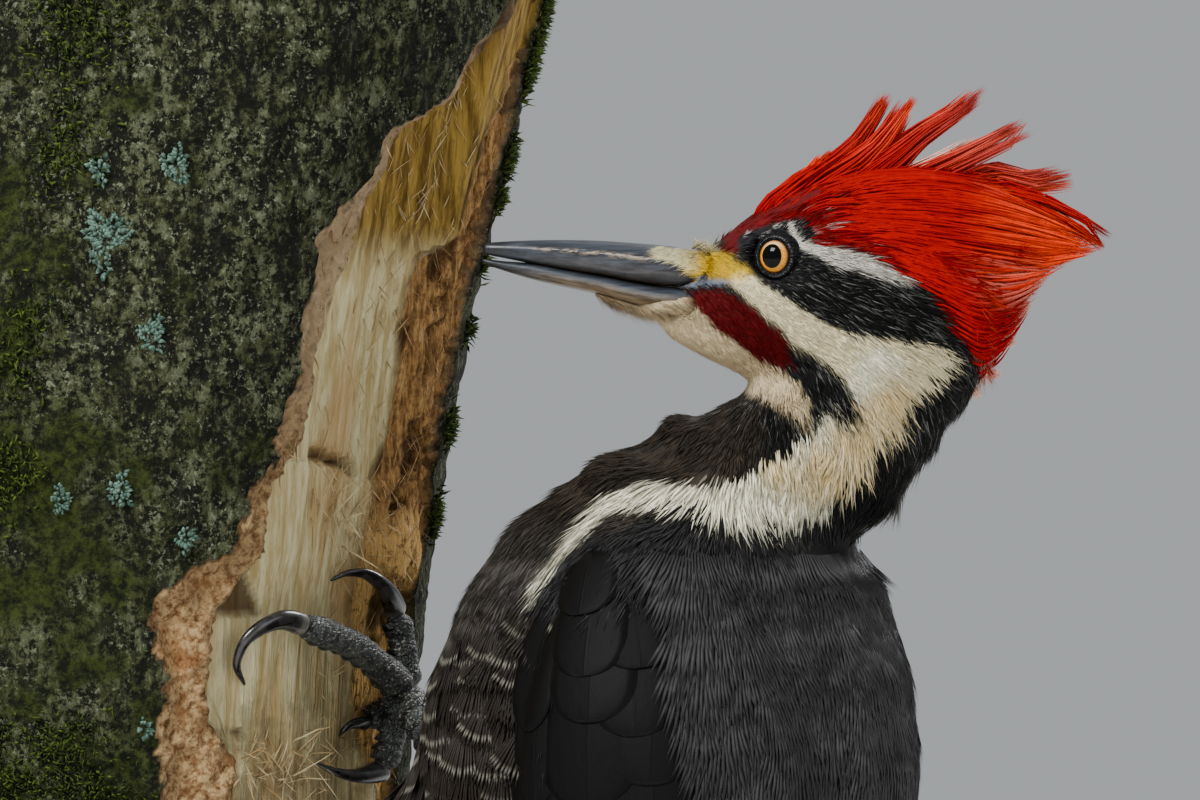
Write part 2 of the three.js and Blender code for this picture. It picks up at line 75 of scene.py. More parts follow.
# Bill and the crest's solid middle: [x, top, bottom, half width].
BILL_UPPER = [
    [90.6, 415.9, 413.7, 1], [92.5, 416.3, 413.1, 1.7], [101.7, 416.8, 411.5, 3.3],
    [110, 416.9, 409.9, 4.6], [118.3, 416.7, 408.5, 5.7], [126, 416.2, 407, 6.9], [133, 415.6, 405.9, 7.9],
    [142, 414.6, 405.2, 8.4], [152, 412.5, 404.9, 7.6],
]
BILL_LOWER = [
    [90.2, 412.4, 411.7, 0.9], [92.4, 412.2, 410.6, 1.6], [101.7, 411, 407.6, 3.1],
    [110, 409.5, 405.6, 4.3], [118.3, 408.1, 403.7, 5.4], [126, 406.6, 401.4, 6.6], [133, 405.5, 400, 7.6],
    [142, 404.8, 398.6, 8.2], [152, 404.4, 398.4, 7.4],
]
CREST = [
    [143, 416, 413, 3], [152, 424, 415, 8.5], [166, 432.4, 421, 11.5], [180, 436.6, 416.5, 12],
    [194.5, 435.4, 408, 11.5], [208, 431.5, 387, 9.5], [218, 427.8, 395, 6.8], [228, 423.4, 408.4, 4.2],
    [235, 418.6, 413.8, 1.8],
]
EYE = {"x": 159.5, "z": 413.0, "radius": 5.4, "out": 12.3}
# Wing: [z, middle turn from the back's midline, half turn, thickness].
WING = [
    [353, 80, 7, 3], [346, 78, 17, 6], [334, 75, 25, 8], [310, 71, 31, 9], [270, 66, 36, 9],
    [225, 58, 38, 8], [180, 46, 34, 6.5], [145, 36, 26, 4.6], [120, 30, 16, 3], [108, 28, 6, 2],
]
TAIL_LINE = [[135, 172], [122, 144], [105, 110], [83.5, 66]]
TAIL = {"pairs": 5, "width": 15, "thickness": 1.3, "root_step": 4, "tip_step": 8, "layer": 0.75}
TAIL_LENGTHS = [1, 0.98, 0.92, 0.82, 0.66]
LOG = {"bottom": 44, "top": 488, "radius": 90, "flare": 5, "line_y": 10}
LOG_LINE = [[44, -38], [140, -33], [283, -20], [379, -7], [488, 18]]
PIT = {"depth": 11, "wall": 5, "top": 500, "bottom": 236}
# The frame's pit: [z, left edge, right edge] as turns round the trunk.
PIT_EDGES = [
    [236, 44, 58], [262, 30, 72], [303, 20, 77], [341, 23, 78], [379, 35, 77], [434, 42, 73], [470, 58, 71],
    [500, 62, 70],
]
# The torn bark: [z, then x of the bark's edge, of the wood's left edge and of its right edge].
TORN = [
    [226, 30, 44, 47], [240, 22, 37, 54], [262, 16, 31, 60], [283, 13.6, 30, 61], [293, 14, 31, 60.5],
    [300, 14.3, 26, 59.5], [307, 14.8, 23.5, 59], [320, 11.4, 25, 59.5], [326, 11.2, 26.2, 60],
    [331, 14, 27.5, 60.5], [339, 19.5, 35, 61.5], [342, 31, 37.5, 62], [350, 33.4, 38, 63.5],
    [357, 33.9, 39, 65], [361, 37.9, 42.1, 66], [369, 38.6, 47.3, 68], [379, 43, 49, 69.5],
    [386, 46.2, 50, 70.5], [400, 46.9, 53, 72.5], [405, 49.8, 54.5, 73.5], [413, 51, 57.5, 76],
    [417, 51.2, 58.5, 80], [423, 56.4, 61, 82], [432, 64.8, 66.5, 84], [443, 67.1, 71, 86.5],
    [451, 83.8, 85, 90], [460, 87.4, 89, 92], [472, 96.9, 98, 99], [490, 103, 104, 105],
]
# Left foot: points [x, z, height over the wood]; each toe starts at the joint and ends in its claw.
JOINT = [71, 308, 8]
ANKLES = {"left": [88, -45, 274], "right": [88, -30, 229]}
TOES = {
    "outer_front": ([[59, 319, 7], [46.8, 324.6, 5.5]],
                    [[41.3, 325.9, 6.8], [34, 321.8, 6], [31.2, 315.6, 3.6], [33, 310.2, 0.6]]),
    "inner_front": ([[70.2, 317.5, 7], [68.6, 327.2, 5.5]],
                    [[66.5, 332.4, 7], [62, 336.4, 6], [57, 336.8, 3.4], [53, 335, 0.6]]),
    "outer_back": ([[68, 299, 6.5], [65.4, 288.6, 5]],
                   [[61, 287.6, 5.8], [57, 287.9, 5], [53, 289.2, 3], [49.2, 291, 0.6]]),
    "hallux": ([[66, 303.5, 4], [61.5, 300.5, 3.4]],
               [[59.5, 300.4, 3.6], [57.5, 299.8, 3], [56, 298.6, 2], [55, 297, 0.6]]),
}
RIGHT_SHIFT = {"turn": 150, "z": -54}


# ---- arithmetic on whole arrays ----

def ease(value, low=0.0, high=1.0):
    """0 below low, 1 above high, and 3t^2 - 2t^3 between them."""
    t = np.clip((value - low) / (high - low), 0, 1)
    return t * t * (3 - 2 * t)


def lerp(start, end, t):
    return start + (end - start) * t


def hump(distance, width):
    """exp(-(distance / width)^2)."""
    return np.exp(-(distance / width) ** 2)


def bowed(value, power):
    """A value to that power, its sign kept."""
    return np.sign(value) * np.abs(value) ** power


def around(columns):
    """Turns round a ring, 2 pi k / columns."""
    return np.linspace(0, 2 * np.pi, columns, endpoint=False)


def unit(vectors):
    return vectors / np.maximum(np.linalg.norm(vectors, axis=-1, keepdims=True), 1e-9)


def dot(a, b):
    return (a * b).sum(-1, keepdims=True)


def laid(vectors, normals):
    """Vectors laid flat on a surface with those normals, at length 1."""
    return unit(vectors - dot(vectors, normals) * normals)


def xyz(x, y, z):
    """Vectors from three columns of numbers."""
    return np.stack(np.broadcast_arrays(x, y, z), -1)


def between(rows, key):
    """The columns of rows at each key: the cubic through two rows whose slope at a row is its neighbours'."""
    table = np.asarray(rows, float)
    table = table if table[-1, 0] > table[0, 0] else table[::-1]
    x, values = table[:, 0], table[:, 1:]
    key = np.clip(np.asarray(key, float), x[0], x[-1])
    i = np.clip(np.searchsorted(x, key, side="right") - 1, 0, len(x) - 2)
    chord = np.diff(values, axis=0) / np.diff(x)[:, None]
    middle = (values[2:] - values[:-2]) / (x[2:] - x[:-2])[:, None]
    slope = np.concatenate([chord[:1], middle, chord[-1:]])
    span = (x[i + 1] - x[i])[..., None]
    t = (key - x[i])[..., None] / span
    start = (2 * t**3 - 3 * t**2 + 1) * values[i] + (t**3 - 2 * t**2 + t) * slope[i] * span
    return start + (3 * t**2 - 2 * t**3) * values[i + 1] + (t**3 - t**2) * slope[i + 1] * span


def line_at(points, t):
    """Points of the smooth line through the given ones, where t runs from 0 to 1 by length."""
    points = np.asarray(points, float)
    lengths = np.linalg.norm(np.diff(points, axis=0), axis=1)
    key = np.concatenate([[0], np.cumsum(lengths)]) / lengths.sum()
    return between(np.column_stack([key, points]), t)


def way_at(points, t, step):
    """The direction of that line."""
    return unit(line_at(points, t + step) - line_at(points, t - step))


def noise(points, size, seed=0):
    """Smooth noise from -1 to 1: a hashed number at each corner of cells of that size, eased between."""
    cell = np.asarray(points, float) / size
    low = np.floor(cell)
    f = cell - low
    f = f * f * (3 - 2 * f)
    low = low.astype(np.int64)
    total = np.zeros(cell.shape[:-1])
    for corner in np.ndindex(*(2,) * cell.shape[-1]):
        place = (low + corner).astype(np.uint64)
        mixed = np.full(total.shape, seed * 7919 + 17, np.uint64)
        for axis in range(cell.shape[-1]):
            mixed = (mixed ^ place[..., axis]) * np.uint64(0x9E3779B97F4A7C15)
            mixed ^= mixed >> np.uint64(29)
        weight = np.prod(np.where(np.array(corner) == 1, f, 1 - f), axis=-1)
        total += weight * ((mixed >> np.uint64(40)).astype(float) / 2**23 - 1)
    return total


def waves(points, *terms):
    """Layers of noise added up, each as its height, size and seed."""
    return sum(height * noise(points, size, seed) for height, size, seed in terms)


def strand_faces(count, rings):
    """Faces of three-sided blades: a foot, the sides between rings of three corners, and a point."""
    last = 3 * rings
    faces = [[0, 1, 2]]
    for a in range(0, last - 3, 3):
        for p, q in ((0, 2), (2, 1), (1, 0)):
            faces += [[a + p, a + q, a + 3 + q], [a + p, a + 3 + q, a + 3 + p]]
    faces += [[last - 3, last - 1, last], [last - 1, last - 2, last], [last - 2, last - 3, last]]
    return (np.array(faces)[None] + (np.arange(count) * (last + 1))[:, None, None]).reshape(-1, 3)


def grid_faces(rows, columns, closed=False):
    """Four-sided faces over a grid of corners, row by row; a closed grid's last column meets its first."""
    i = np.arange(rows - 1)[:, None] * columns
    j = np.arange(columns if closed else columns - 1)[None, :]
    k = (j + 1) % columns
    return np.stack([i + j, i + k, i + columns + k, i + columns + j], -1).reshape(-1, 4)


def closed_skin(rings):
    """Corners and faces of a body over rings (rows x columns x 3), with a fan to each end's middle point."""
    rows, columns = rings.shape[:2]
    corners = np.concatenate([rings.reshape(-1, 3), rings[0].mean(0)[None], rings[-1].mean(0)[None]])
    j = np.arange(columns)
    k = (j + 1) % columns
    first = np.stack([k, j, np.full(columns, rows * columns)], -1)
    last = np.stack([j, k, np.full(columns, rows * columns + 1)], -1) + [[(rows - 1) * columns] * 2 + [0]]
    return corners, [grid_faces(rows, columns, closed=True), first, last]


def flipped(body):
    return body[0], [part[:, ::-1] for part in body[1]]


def joined(bodies):
    """One body's corners and faces from several."""
    corners, faces, start = [], [], 0
    for points, face_sets in bodies:
        corners.append(points)
        faces += [face_set + start for face_set in face_sets]
        start += len(points)
    return np.concatenate(corners), faces


def rings_along(points, radii, rows, columns, reference, flat=1.0, shape=1.0):
    """Rings round a smooth line: cos and sin of the turn times a radius between the given ones and the
    shape. Each end is rounded off over its own radius."""
    t = np.linspace(0, 1, rows)
    centre = line_at(points, t)
    tangent = way_at(points, t, 1e-3)
    side = unit(np.cross(tangent, np.cross(unit(reference), tangent)))
    across = np.cross(tangent, side)
    length = np.linalg.norm(np.diff(centre, axis=0), axis=1).sum()
    radius = np.interp(t, np.linspace(0, 1, len(radii)), radii)
    to_end = np.minimum(t, 1 - t) * length / np.maximum(radius, 0.1)
    radius = radius * np.sqrt(np.where(to_end < 1, np.clip(to_end * (2 - to_end), 0.02, 1), 1))
    turn = around(columns)[None, :, None]
    reach = (radius[:, None] * shape)[..., None]
    return centre[:, None] + reach * (np.cos(turn) * side[:, None] * flat + np.sin(turn) * across[:, None])


def zones(*masks):
    """Up to three masks over a body's rings, and over each end's middle point."""
    full = np.stack(np.broadcast_arrays(*masks, *[0.0] * (3 - len(masks))), -1).reshape(-1, 3)
    return np.concatenate([full, full[:1], full[-1:]])


# ---- making pieces ----

def new_mesh(name, corners, faces):
    """A smooth mesh in metres from corners in millimetres and arrays of three- or four-sided faces."""
    mesh = bpy.data.meshes.new(name)
    loops = np.concatenate([part.reshape(-1) for part in faces]).astype(np.int32)
    sizes = np.concatenate([np.full(len(part), part.shape[1]) for part in faces])
    mesh.vertices.add(len(corners))
    mesh.vertices.foreach_set("co", (np.asarray(corners) * MM).astype(np.float32).reshape(-1))
    mesh.loops.add(len(loops))
    mesh.loops.foreach_set("vertex_index", loops)
    mesh.polygons.add(len(sizes))
    mesh.polygons.foreach_set("loop_start", (np.cumsum(sizes) - sizes).astype(np.int32))
    mesh.polygons.foreach_set("use_smooth", np.full(len(sizes), True))
    mesh.update(calc_edges=True)
    return mesh, loops


def linked(name, data):
    """An object of the scene that holds the data."""
    made = bpy.data.objects.new(name, data)
    bpy.context.scene.collection.objects.link(made)
    return made


def put(name, body, finish, stands_for=(), colours=None, masks=None, maps=None):
    """A finished piece of the bird, perch or stand.

    body is (corners, faces); colours and masks are one value a corner, written as the attributes Coat
    and Zone; maps holds named UV maps, each one place a corner."""
    mesh, loops = new_mesh(name, *body)
    for label, values in (("Coat", colours), ("Zone", masks)):
        if values is not None:
            full = np.column_stack([values, np.ones(len(values))]).astype(np.float32)
            mesh.color_attributes.new(name=label, type="FLOAT_COLOR", domain="POINT")
            mesh.color_attributes[label].data.foreach_set("color", full.reshape(-1))
    for label, places in (maps or {}).items():
        mesh.uv_layers.new(name=label)
        mesh.uv_layers[label].data.foreach_set("uv", places[loops].astype(np.float32).reshape(-1))
    mesh.materials.append(finish)
    piece = linked(name, mesh)
    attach(piece, "root")
    if stands_for:
        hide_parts(*stands_for)


# ---- finishes ----

class Value:
    """An output of a node. Arithmetic on it adds Math nodes."""

    def __init__(self, finish, socket):
        self.finish = finish
        self.socket = socket

    def maths(self, operation, *values):
        return self.finish.node("Math", {"operation": operation}, dict(enumerate(values)))

    def __add__(self, other):
        return self.maths("ADD", self, other)

    def __sub__(self, other):
        return self.maths("SUBTRACT", self, other)

    def __rsub__(self, other):
        return self.maths("SUBTRACT", other, self)

    def __mul__(self, other):
        return self.maths("MULTIPLY", self, other)

    def __abs__(self):
        return self.maths("ABSOLUTE", self)

    __radd__, __rmul__ = __add__, __mul__

    def ramp(self, low, high):
        """0 at low and 1 at high, eased; low may be the larger."""
        return self.finish.node("MapRange", {"interpolation_type": "SMOOTHSTEP"},
                                {"Value": self, "From Min": low, "From Max": high})

    def wave(self):
        """Half the sine, and a half."""
        return self.maths("SINE", self) * 0.5 + 0.5


class Finish:
    """A material round one Principled shader. node() makes every other node."""

    def __init__(self, name, **constants):
        self.material = bpy.data.materials.new(name)
        self.material.use_nodes = True
        self.tree = self.material.node_tree
        self.shader = self.tree.nodes["Principled BSDF"]
        for socket, value in constants.items():
            self.shader.inputs[socket.replace("_", " ")].default_value = value

    def node(self, kind, settings=None, inputs=None, output=0):
        """A node of that type: its settings first, then its sockets' values or links."""
        made = self.tree.nodes.new("ShaderNode" + kind)
        for key, value in (settings or {}).items():
            setattr(made, key, value)
        for key, value in (inputs or {}).items():
            if isinstance(value, Value):
                self.tree.links.new(value.socket, made.inputs[key])
            else:
                made.inputs[key].default_value = value
        return Value(self, made.outputs[output])

    def place(self, stretch=(1, 1, 1)):
        """Object coordinates in metres, stretched."""
        where = self.node("TexCoord", output="Object")
        return self.node("VectorMath", {"operation": "MULTIPLY"}, {0: where, 1: stretch})

    def noise(self, scale, detail=3.0, roughness=0.5, stretch=(1, 1, 1)):
        return self.node("TexNoise", {}, {
            "Vector": self.place(stretch), "Scale": scale, "Detail": detail, "Roughness": roughness})

    def attribute(self, name):
        return self.node("Attribute", {"attribute_name": name}, output="Color")

    def parts(self, colour):
        """The three channels of a colour, as numbers."""
        outputs = self.node("SeparateColor", {}, {0: colour}).socket.node.outputs
        return [Value(self, outputs[i]) for i in range(3)]

    def layers(self, colour, *coats):
        """A colour with coats laid over it in turn, each as its amount and colour."""
        for amount, coat in coats:
            paint = [(*c, 1) if isinstance(c, tuple) else c for c in (colour, coat)]
            colour = self.node("Mix", {"data_type": "RGBA"}, {0: amount, 6: paint[0], 7: paint[1]}, output=2)
        return colour

    def shade(self, colour, level):
        """A colour times a number."""
        return self.node("VectorMath", {"operation": "SCALE"}, {0: colour, "Scale": level})

    def bump(self, height, distance, strength):
        return self.node("Bump", {}, {"Height": height, "Distance": distance, "Strength": strength})

    def drive(self, **links):
        """Links what changes over the surface to the shader, and returns the material."""
        for socket, value in links.items():
            self.tree.links.new(value.socket, self.shader.inputs[socket.replace("_", " ")])
        return self.material


def speckled_finish(name, roughness, shine=0.1, grain=(700, 2.0), spread=0.5):
    """Feathers, fibres or moss: each strand's own colours, uneven by that spread."""
    f = Finish(name, Roughness=roughness, Specular_IOR_Level=shine)
    return f.drive(Base_Color=f.shade(f.attribute("Coat"), f.noise(*grain) * spread + (1 - spread / 2)))


def vane_finish(name, roughness, barb, rim):
    """Flat feathers: combed barbs that slant from a raised shaft, and a thin paler rim.

    The map Vane runs 0 to 1 across and along each feather."""
    f = Finish(name, Roughness=roughness, Specular_IOR_Level=0.11)
    across, along, _ = f.parts(f.node("UVMap", {"uv_map": "Vane"}))
    out = abs(across * 2 - 1)
    slant = along * barb[0] - out * barb[1]
    comb = (slant * 6.283 + f.noise(260, 2.0) * 3.0).wave()
    edge = 1 - (1 - out.ramp(0.90, 1.0)) * (1 - along.ramp(0.955, 1.0))
    relief = comb * 0.10 + out.ramp(0.05, 0.0) * 0.2 + f.noise(420, stretch=(1, 1, 0.4)) * 0.6
    colour = f.shade(f.attribute("Coat"), comb * 0.24 + 0.88 + edge * rim)
    return f.drive(Base_Color=colour, Normal=f.bump(relief, 0.00035, 0.8))


def skin_finish():
    """The skin under the feathers: their own colours, darker and finely pitted."""
    f = Finish("skin_under_feathers", Roughness=0.8, Specular_IOR_Level=0.2)
    grain = f.noise(900, 4.0)
    colour = f.shade(f.attribute("Coat"), grain * 0.5 + 0.45)
    return f.drive(Base_Color=colour, Normal=f.bump(grain, 0.0004, 0.6))


def bill_finish():
    """Slate horn, browner low down and along a speckled ridge, with fine scratches along its length. The tip
    is darker horn, and painted shade darkens the edges where the halves meet.
    """
    f = Finish("bill_horn", Specular_IOR_Level=0.35, Coat_Roughness=0.22, Coat_Weight=0.25)
    streaks = f.noise(1.0, 5.0, 0.6, (90, 900, 900))
    blotches = f.noise(1.0, stretch=(160, 300, 500))
    specks = f.noise(1.0, 2.0, stretch=(500, 1500, 1500)).ramp(0.42, 0.6)
    ivory, ridge, dark = f.parts(f.attribute("Zone"))
    warm = f.layers((0.12, 0.078, 0.040), (streaks.ramp(0.2, 0.8), (0.30, 0.21, 0.115)))
    horn = f.layers(
        (0.008, 0.010, 0.015), (streaks.ramp(0.3, 0.75), (0.044, 0.053, 0.070)),
        # dark: the tip's own darker horn, and painted shade along the gap where the halves meet.
        (blotches.ramp(0.55, 0.8) * 0.3, (0.10, 0.104, 0.112)), (dark, (0.006, 0.006, 0.007)),
        (ivory * (blotches * 0.7 + 0.5), warm), (ridge * specks, (0.34, 0.26, 0.17)))
    relief = streaks * 0.8 + f.noise(1.0, stretch=(1200, 2500, 2500)) * 0.3
    return f.drive(Base_Color=horn, Roughness=0.32 + streaks * 0.22, Normal=f.bump(relief, 0.00012, 0.8))


def eye_finish():
    """A wet ball: black pupil, an amber ring finely mottled, paler high up, a brown edge, then black."""
    f = Finish("eye_glass", Roughness=0.03, Specular_IOR_Level=0.12, Coat_Weight=0.06, Coat_Roughness=0.0)
    iris, pupil, _ = f.parts(f.node("UVMap", {"uv_map": "Rings"}))
    _, _, height = f.parts(f.place())
    amber = f.layers(
        (0.50, 0.17, 0.010), (f.noise(3200, 2.0).ramp(0.35, 0.65), (0.78, 0.36, 0.04)),
        (height.ramp(0.4140, 0.4164) * 0.8, (0.90, 0.62, 0.34)),
        (iris.ramp(0.40, 0.49) * 0.85, (0.20, 0.055, 0.005)), (iris.ramp(0.475, 0.51), (0.010, 0.004, 0.002)))
    return f.drive(Base_Color=f.layers((0.001, 0.001, 0.001), (pupil.ramp(0.342, 0.366), amber)))


def lid_finish():
    """Bare slate skin, wrinkled round the eye, paler on its fine bumps."""
    f = Finish("eyelid_skin", Roughness=0.55, Specular_IOR_Level=0.12)
    fine = f.noise(1500)
    pores = f.node("TexVoronoi", {}, {"Vector": f.place(), "Scale": 1500.0})
    rim, _, _ = f.parts(f.attribute("Zone"))
    colour = f.layers(
        (0.003, 0.003, 0.0035), (pores.ramp(0.5, 0.1), (0.026, 0.028, 0.032)),
        (rim * fine.ramp(0.42, 0.58), (0.20, 0.205, 0.22)))
    return f.drive(Base_Color=colour, Normal=f.bump(fine - pores, 0.0004, 0.8))


def scale_finish():
    """Foot skin: grey-green scutes and grains, dark in the creases and dusted with pale wood."""
    f = Finish("foot_scales", Specular_IOR_Level=0.5)
    grains = f.node("TexVoronoi", {"feature": "DISTANCE_TO_EDGE"}, {"Vector": f.place(), "Scale": 900.0})
    crease, dust, _ = f.parts(f.attribute("Zone"))
    tone, fine = f.noise(260), f.noise(1300)
    colour = f.layers(
        (0.012, 0.015, 0.014), (tone.ramp(0.3, 0.7), (0.085, 0.098, 0.088)),
        (grains.ramp(0.12, 0.0) * 0.8, (0.008, 0.009, 0.008)), (crease * 0.9, (0.005, 0.005, 0.005)),
        (fine.ramp(0.58, 0.66) * 0.7 + dust * 0.15, (0.36, 0.34, 0.28)))
    relief = grains.ramp(0.0, 0.25) * 0.6 + fine * 0.4
    return f.drive(Base_Color=colour, Roughness=0.34 + tone * 0.25, Normal=f.bump(relief, 0.0006, 0.9))


def claw_finish():
    """Polished dark horn with fine grain along the claw, greyer where it is worn."""
    f = Finish("claw_horn_polished", Specular_IOR_Level=0.6, Coat_Weight=0.4, Coat_Roughness=0.12)
    grain = f.noise(1.0, 4.0, stretch=(300, 300, 500))
    root, _, _ = f.parts(f.attribute("Zone"))
    colour = f.layers((0.006, 0.005, 0.005), (grain.ramp(0.35, 0.75), (0.04, 0.036, 0.036)),
                      (root * 0.8, (0.16, 0.14, 0.12)))
    return f.drive(
        Base_Color=colour, Roughness=0.18 + grain * 0.2, Normal=f.bump(f.noise(2600, 2.0), 0.00006, 0.5))


def trunk_finish():
    """Bark, torn inner bark and bared wood, by the trunk's zones: wood, inner bark, moss; rust, painted shade
    in holes and cracks, rings.

    Bark is dark olive with pale specks; inner bark is tan plates and rusty fibre; wood is cream with upright
    grain, with painted shade that turns it brown high up in the hollow and darker low down; holes and cracks
    are painted in dark shade; the sawn ends show growth rings."""
    f = Finish("trunk_surface", Specular_IOR_Level=0.2)
    wood, inner, moss = f.parts(f.attribute("Zone"))
    rust, shaded_hole, share = f.parts(f.attribute("Coat"))
    _, _, height = f.parts(f.place())
    rough = f.noise(75, 6.0, 0.68)
    fine = f.noise(380, 6.0, 0.75)
    cracks = f.noise(150, 6.0, 0.66, (1, 1, 0.5))
    scurf = f.noise(230, 7.0, 0.74, (1, 1, 0.45))
    flecks = f.noise(850, 4.0, 0.7)
    green = f.layers((0.004, 0.007, 0.001), (fine.ramp(0.38, 0.64), (0.050, 0.066, 0.010)))
    bark = f.layers(
        (0.004, 0.005, 0.001), (fine.ramp(0.42, 0.58), (0.070, 0.078, 0.030)),
        (rough.ramp(0.48, 0.60) * fine.ramp(0.47, 0.55) * 0.7, (0.13, 0.145, 0.080)),
        (scurf.ramp(0.52, 0.57) * fine.ramp(0.44, 0.54) * 0.8, (0.15, 0.165, 0.095)),
        (scurf.ramp(0.47, 0.42) * 0.9, (0.003, 0.004, 0.002)),
        (rough.ramp(0.5, 0.36) * fine.ramp(0.56, 0.46) * 0.8, (0.007, 0.009, 0.003)),
        (cracks.ramp(0.5, 0.40) * 0.85, (0.004, 0.004, 0.003)),
        (flecks.ramp(0.56, 0.64) * rough.ramp(0.35, 0.55) * 0.8, (0.27, 0.30, 0.19)),
        (moss * rough.ramp(0.32, 0.46), green), (flecks.ramp(0.44, 0.38) * 0.5, (0.012, 0.016, 0.004)))
    fibre = f.noise(900, 4.0, 0.6, (1, 1, 0.12))
    crumb = f.noise(520, 6.0, 0.72)
    plates = f.layers(
        (0.30, 0.145, 0.055), (crumb.ramp(0.38, 0.62), (0.84, 0.56, 0.27)),
        (rough.ramp(0.5, 0.64) * 0.7, (0.44, 0.19, 0.06)),
        (height.ramp(0.355, 0.40) * 0.65, (0.80, 0.60, 0.36)),
        (crumb.ramp(0.40, 0.32) * 0.8, (0.10, 0.04, 0.016)))
    rusty = f.layers(
        (0.16, 0.065, 0.020),
        (fibre.ramp(0.36, 0.64) * 0.6 + crumb.ramp(0.36, 0.64) * 0.4, (0.82, 0.46, 0.16)),
        (fibre.ramp(0.58, 0.70) * rough.ramp(0.42, 0.58) * 0.9, (0.74, 0.52, 0.27)),
        (height.ramp(0.356, 0.345) * crumb.ramp(0.38, 0.46) * 0.9, (0.95, 0.58, 0.20)))
    grain = f.noise(380, 6.0, 0.68, (1, 1, 0.04))
    # brown: the wood as it looks in painted shade, high in the hollow.
    brown = f.layers((0.13, 0.065, 0.008), (grain.ramp(0.36, 0.62), (0.44, 0.28, 0.055)))
    rings = ((share * 46 + rough * 3) * 6.283).wave()
    cream = f.layers(
        (0.56, 0.42, 0.18), (grain.ramp(0.36, 0.62), (0.92, 0.84, 0.50)),
        (fibre.ramp(0.60, 0.48) * 0.25, (0.62, 0.42, 0.18)),
        (f.noise(70, stretch=(1, 1, 0.22)).ramp(0.55, 0.68) * 0.5, (0.60, 0.32, 0.12)),
        # Painted shade: the wood darkens low down, round the foot.
        (height.ramp(0.325, 0.300) * rough.ramp(0.40, 0.58) * 0.6, (0.22, 0.17, 0.08)),
        # Painted shade: high up, deep in the hollow, the wood turns brown.
        (height.ramp(0.408, 0.422) * share.ramp(0.01, 0.0), brown),
        (share.ramp(0.0, 0.02) * rings * 0.7, (0.42, 0.26, 0.11)))
    # Holes, cracks and hollows get painted shade: a near-black brown.
    colour = f.layers(
        bark, (inner, f.layers(plates, (rust, rusty))), (wood, cream), (shaded_hole * 0.88, (0.065, 0.026, 0.006)))
    relief = (fine * 0.9 + cracks * 1.6) * (1 - wood) * (1 - inner) + crumb * inner * (1 - rust) * 1.2
    relief = relief + fibre * inner * rust * 1.2 + (fibre * 0.3 + grain * 0.5) * wood
    return f.drive(Base_Color=colour, Roughness=0.95 - wood * 0.25, Normal=f.bump(relief, 0.0035, 1.0))


def stand_wood_finish():
    """Oiled brown board: long grain along the base, darker pores."""
    f = Finish("stand_board", Specular_IOR_Level=0.4)
    rings = f.noise(1.0, 4.0, 0.55, (4, 55, 55))
    pores = f.noise(1.0, 3.0, 0.6, (40, 900, 900))
    colour = f.layers(
        (0.085, 0.048, 0.024), (rings.ramp(0.3, 0.7), (0.21, 0.125, 0.064)),
        (pores.ramp(0.4, 0.28) * 0.7, (0.03, 0.016, 0.008)))
    return f.drive(Base_Color=colour, Roughness=0.38 + pores * 0.2, Normal=f.bump(pores, 0.0003, 0.4))


def stand_metal_finish():
    """Brushed steel: fine lines round the rod."""
    f = Finish("stand_steel", Metallic=1.0)
    lines = f.noise(1.0, stretch=(8, 8, 4000))
    colour = f.layers((0.32, 0.33, 0.34), (lines, (0.52, 0.53, 0.54)))
    return f.drive(Base_Color=colour, Roughness=0.25 + lines * 0.2, Normal=f.bump(lines, 0.00005, 0.4))


# ---- trunk ----

def log_radius(turn, z):
    """The frame's trunk without its pit: a flaring stem with a few broad lobes. turn is in degrees."""
    flare = LOG["flare"] * ((LOG["top"] - z) / (LOG["top"] - LOG["bottom"])) ** 2
    return LOG["radius"] + flare + 1.6 * np.sin(3 * turn * DEG + 0.6) + 1.1 * np.sin(5 * turn * DEG + z / 70)


def pit_floor(turn, z):
    """How deep the frame's pit is: steep walls, and a floor that rises to the right."""
    left, right = np.moveaxis(between(PIT_EDGES, z), -1, 0)
    wall = np.minimum(PIT["wall"], (right - left) / 3)
    inside = np.minimum((turn - left) / wall, (right - turn) / wall)
    floor = 0.55 + 0.45 * ease((right - turn) / 22)
    return PIT["depth"] * ease(inside) * floor * ease((z - PIT["bottom"]) / 30)


def at_radius(radius, turn, z):
    centre = between(LOG_LINE, z)[..., 0]
    return xyz(centre + radius * np.sin(turn * DEG), LOG["line_y"] - radius * np.cos(turn * DEG), z)


def on_log(turn, z, height=0.0):
    """A point over the frame's trunk, its pit included."""
    return at_radius(log_radius(turn, z) - pit_floor(turn, z) + height, turn, z)


def turn_at(x, z, height):
    """The turn of the point at x, found by halving the front quarter."""
    low, high = np.zeros(np.shape(x)), np.full(np.shape(x), 90.0)
    for _ in range(20):
        middle = (low + high) / 2
        short = on_log(middle, z, height)[..., 0] < x
        low, high = np.where(short, middle, low), np.where(short, high, middle)
    return low


def round_turn(x, z, radius=90, low=-1.0, high=1.0):
    """The turn at x on a round trunk, arcsin((x - centre) / radius)."""
    return np.degrees(np.arcsin(np.clip((x - between(LOG_LINE, z)[..., 0]) / radius, low, high)))


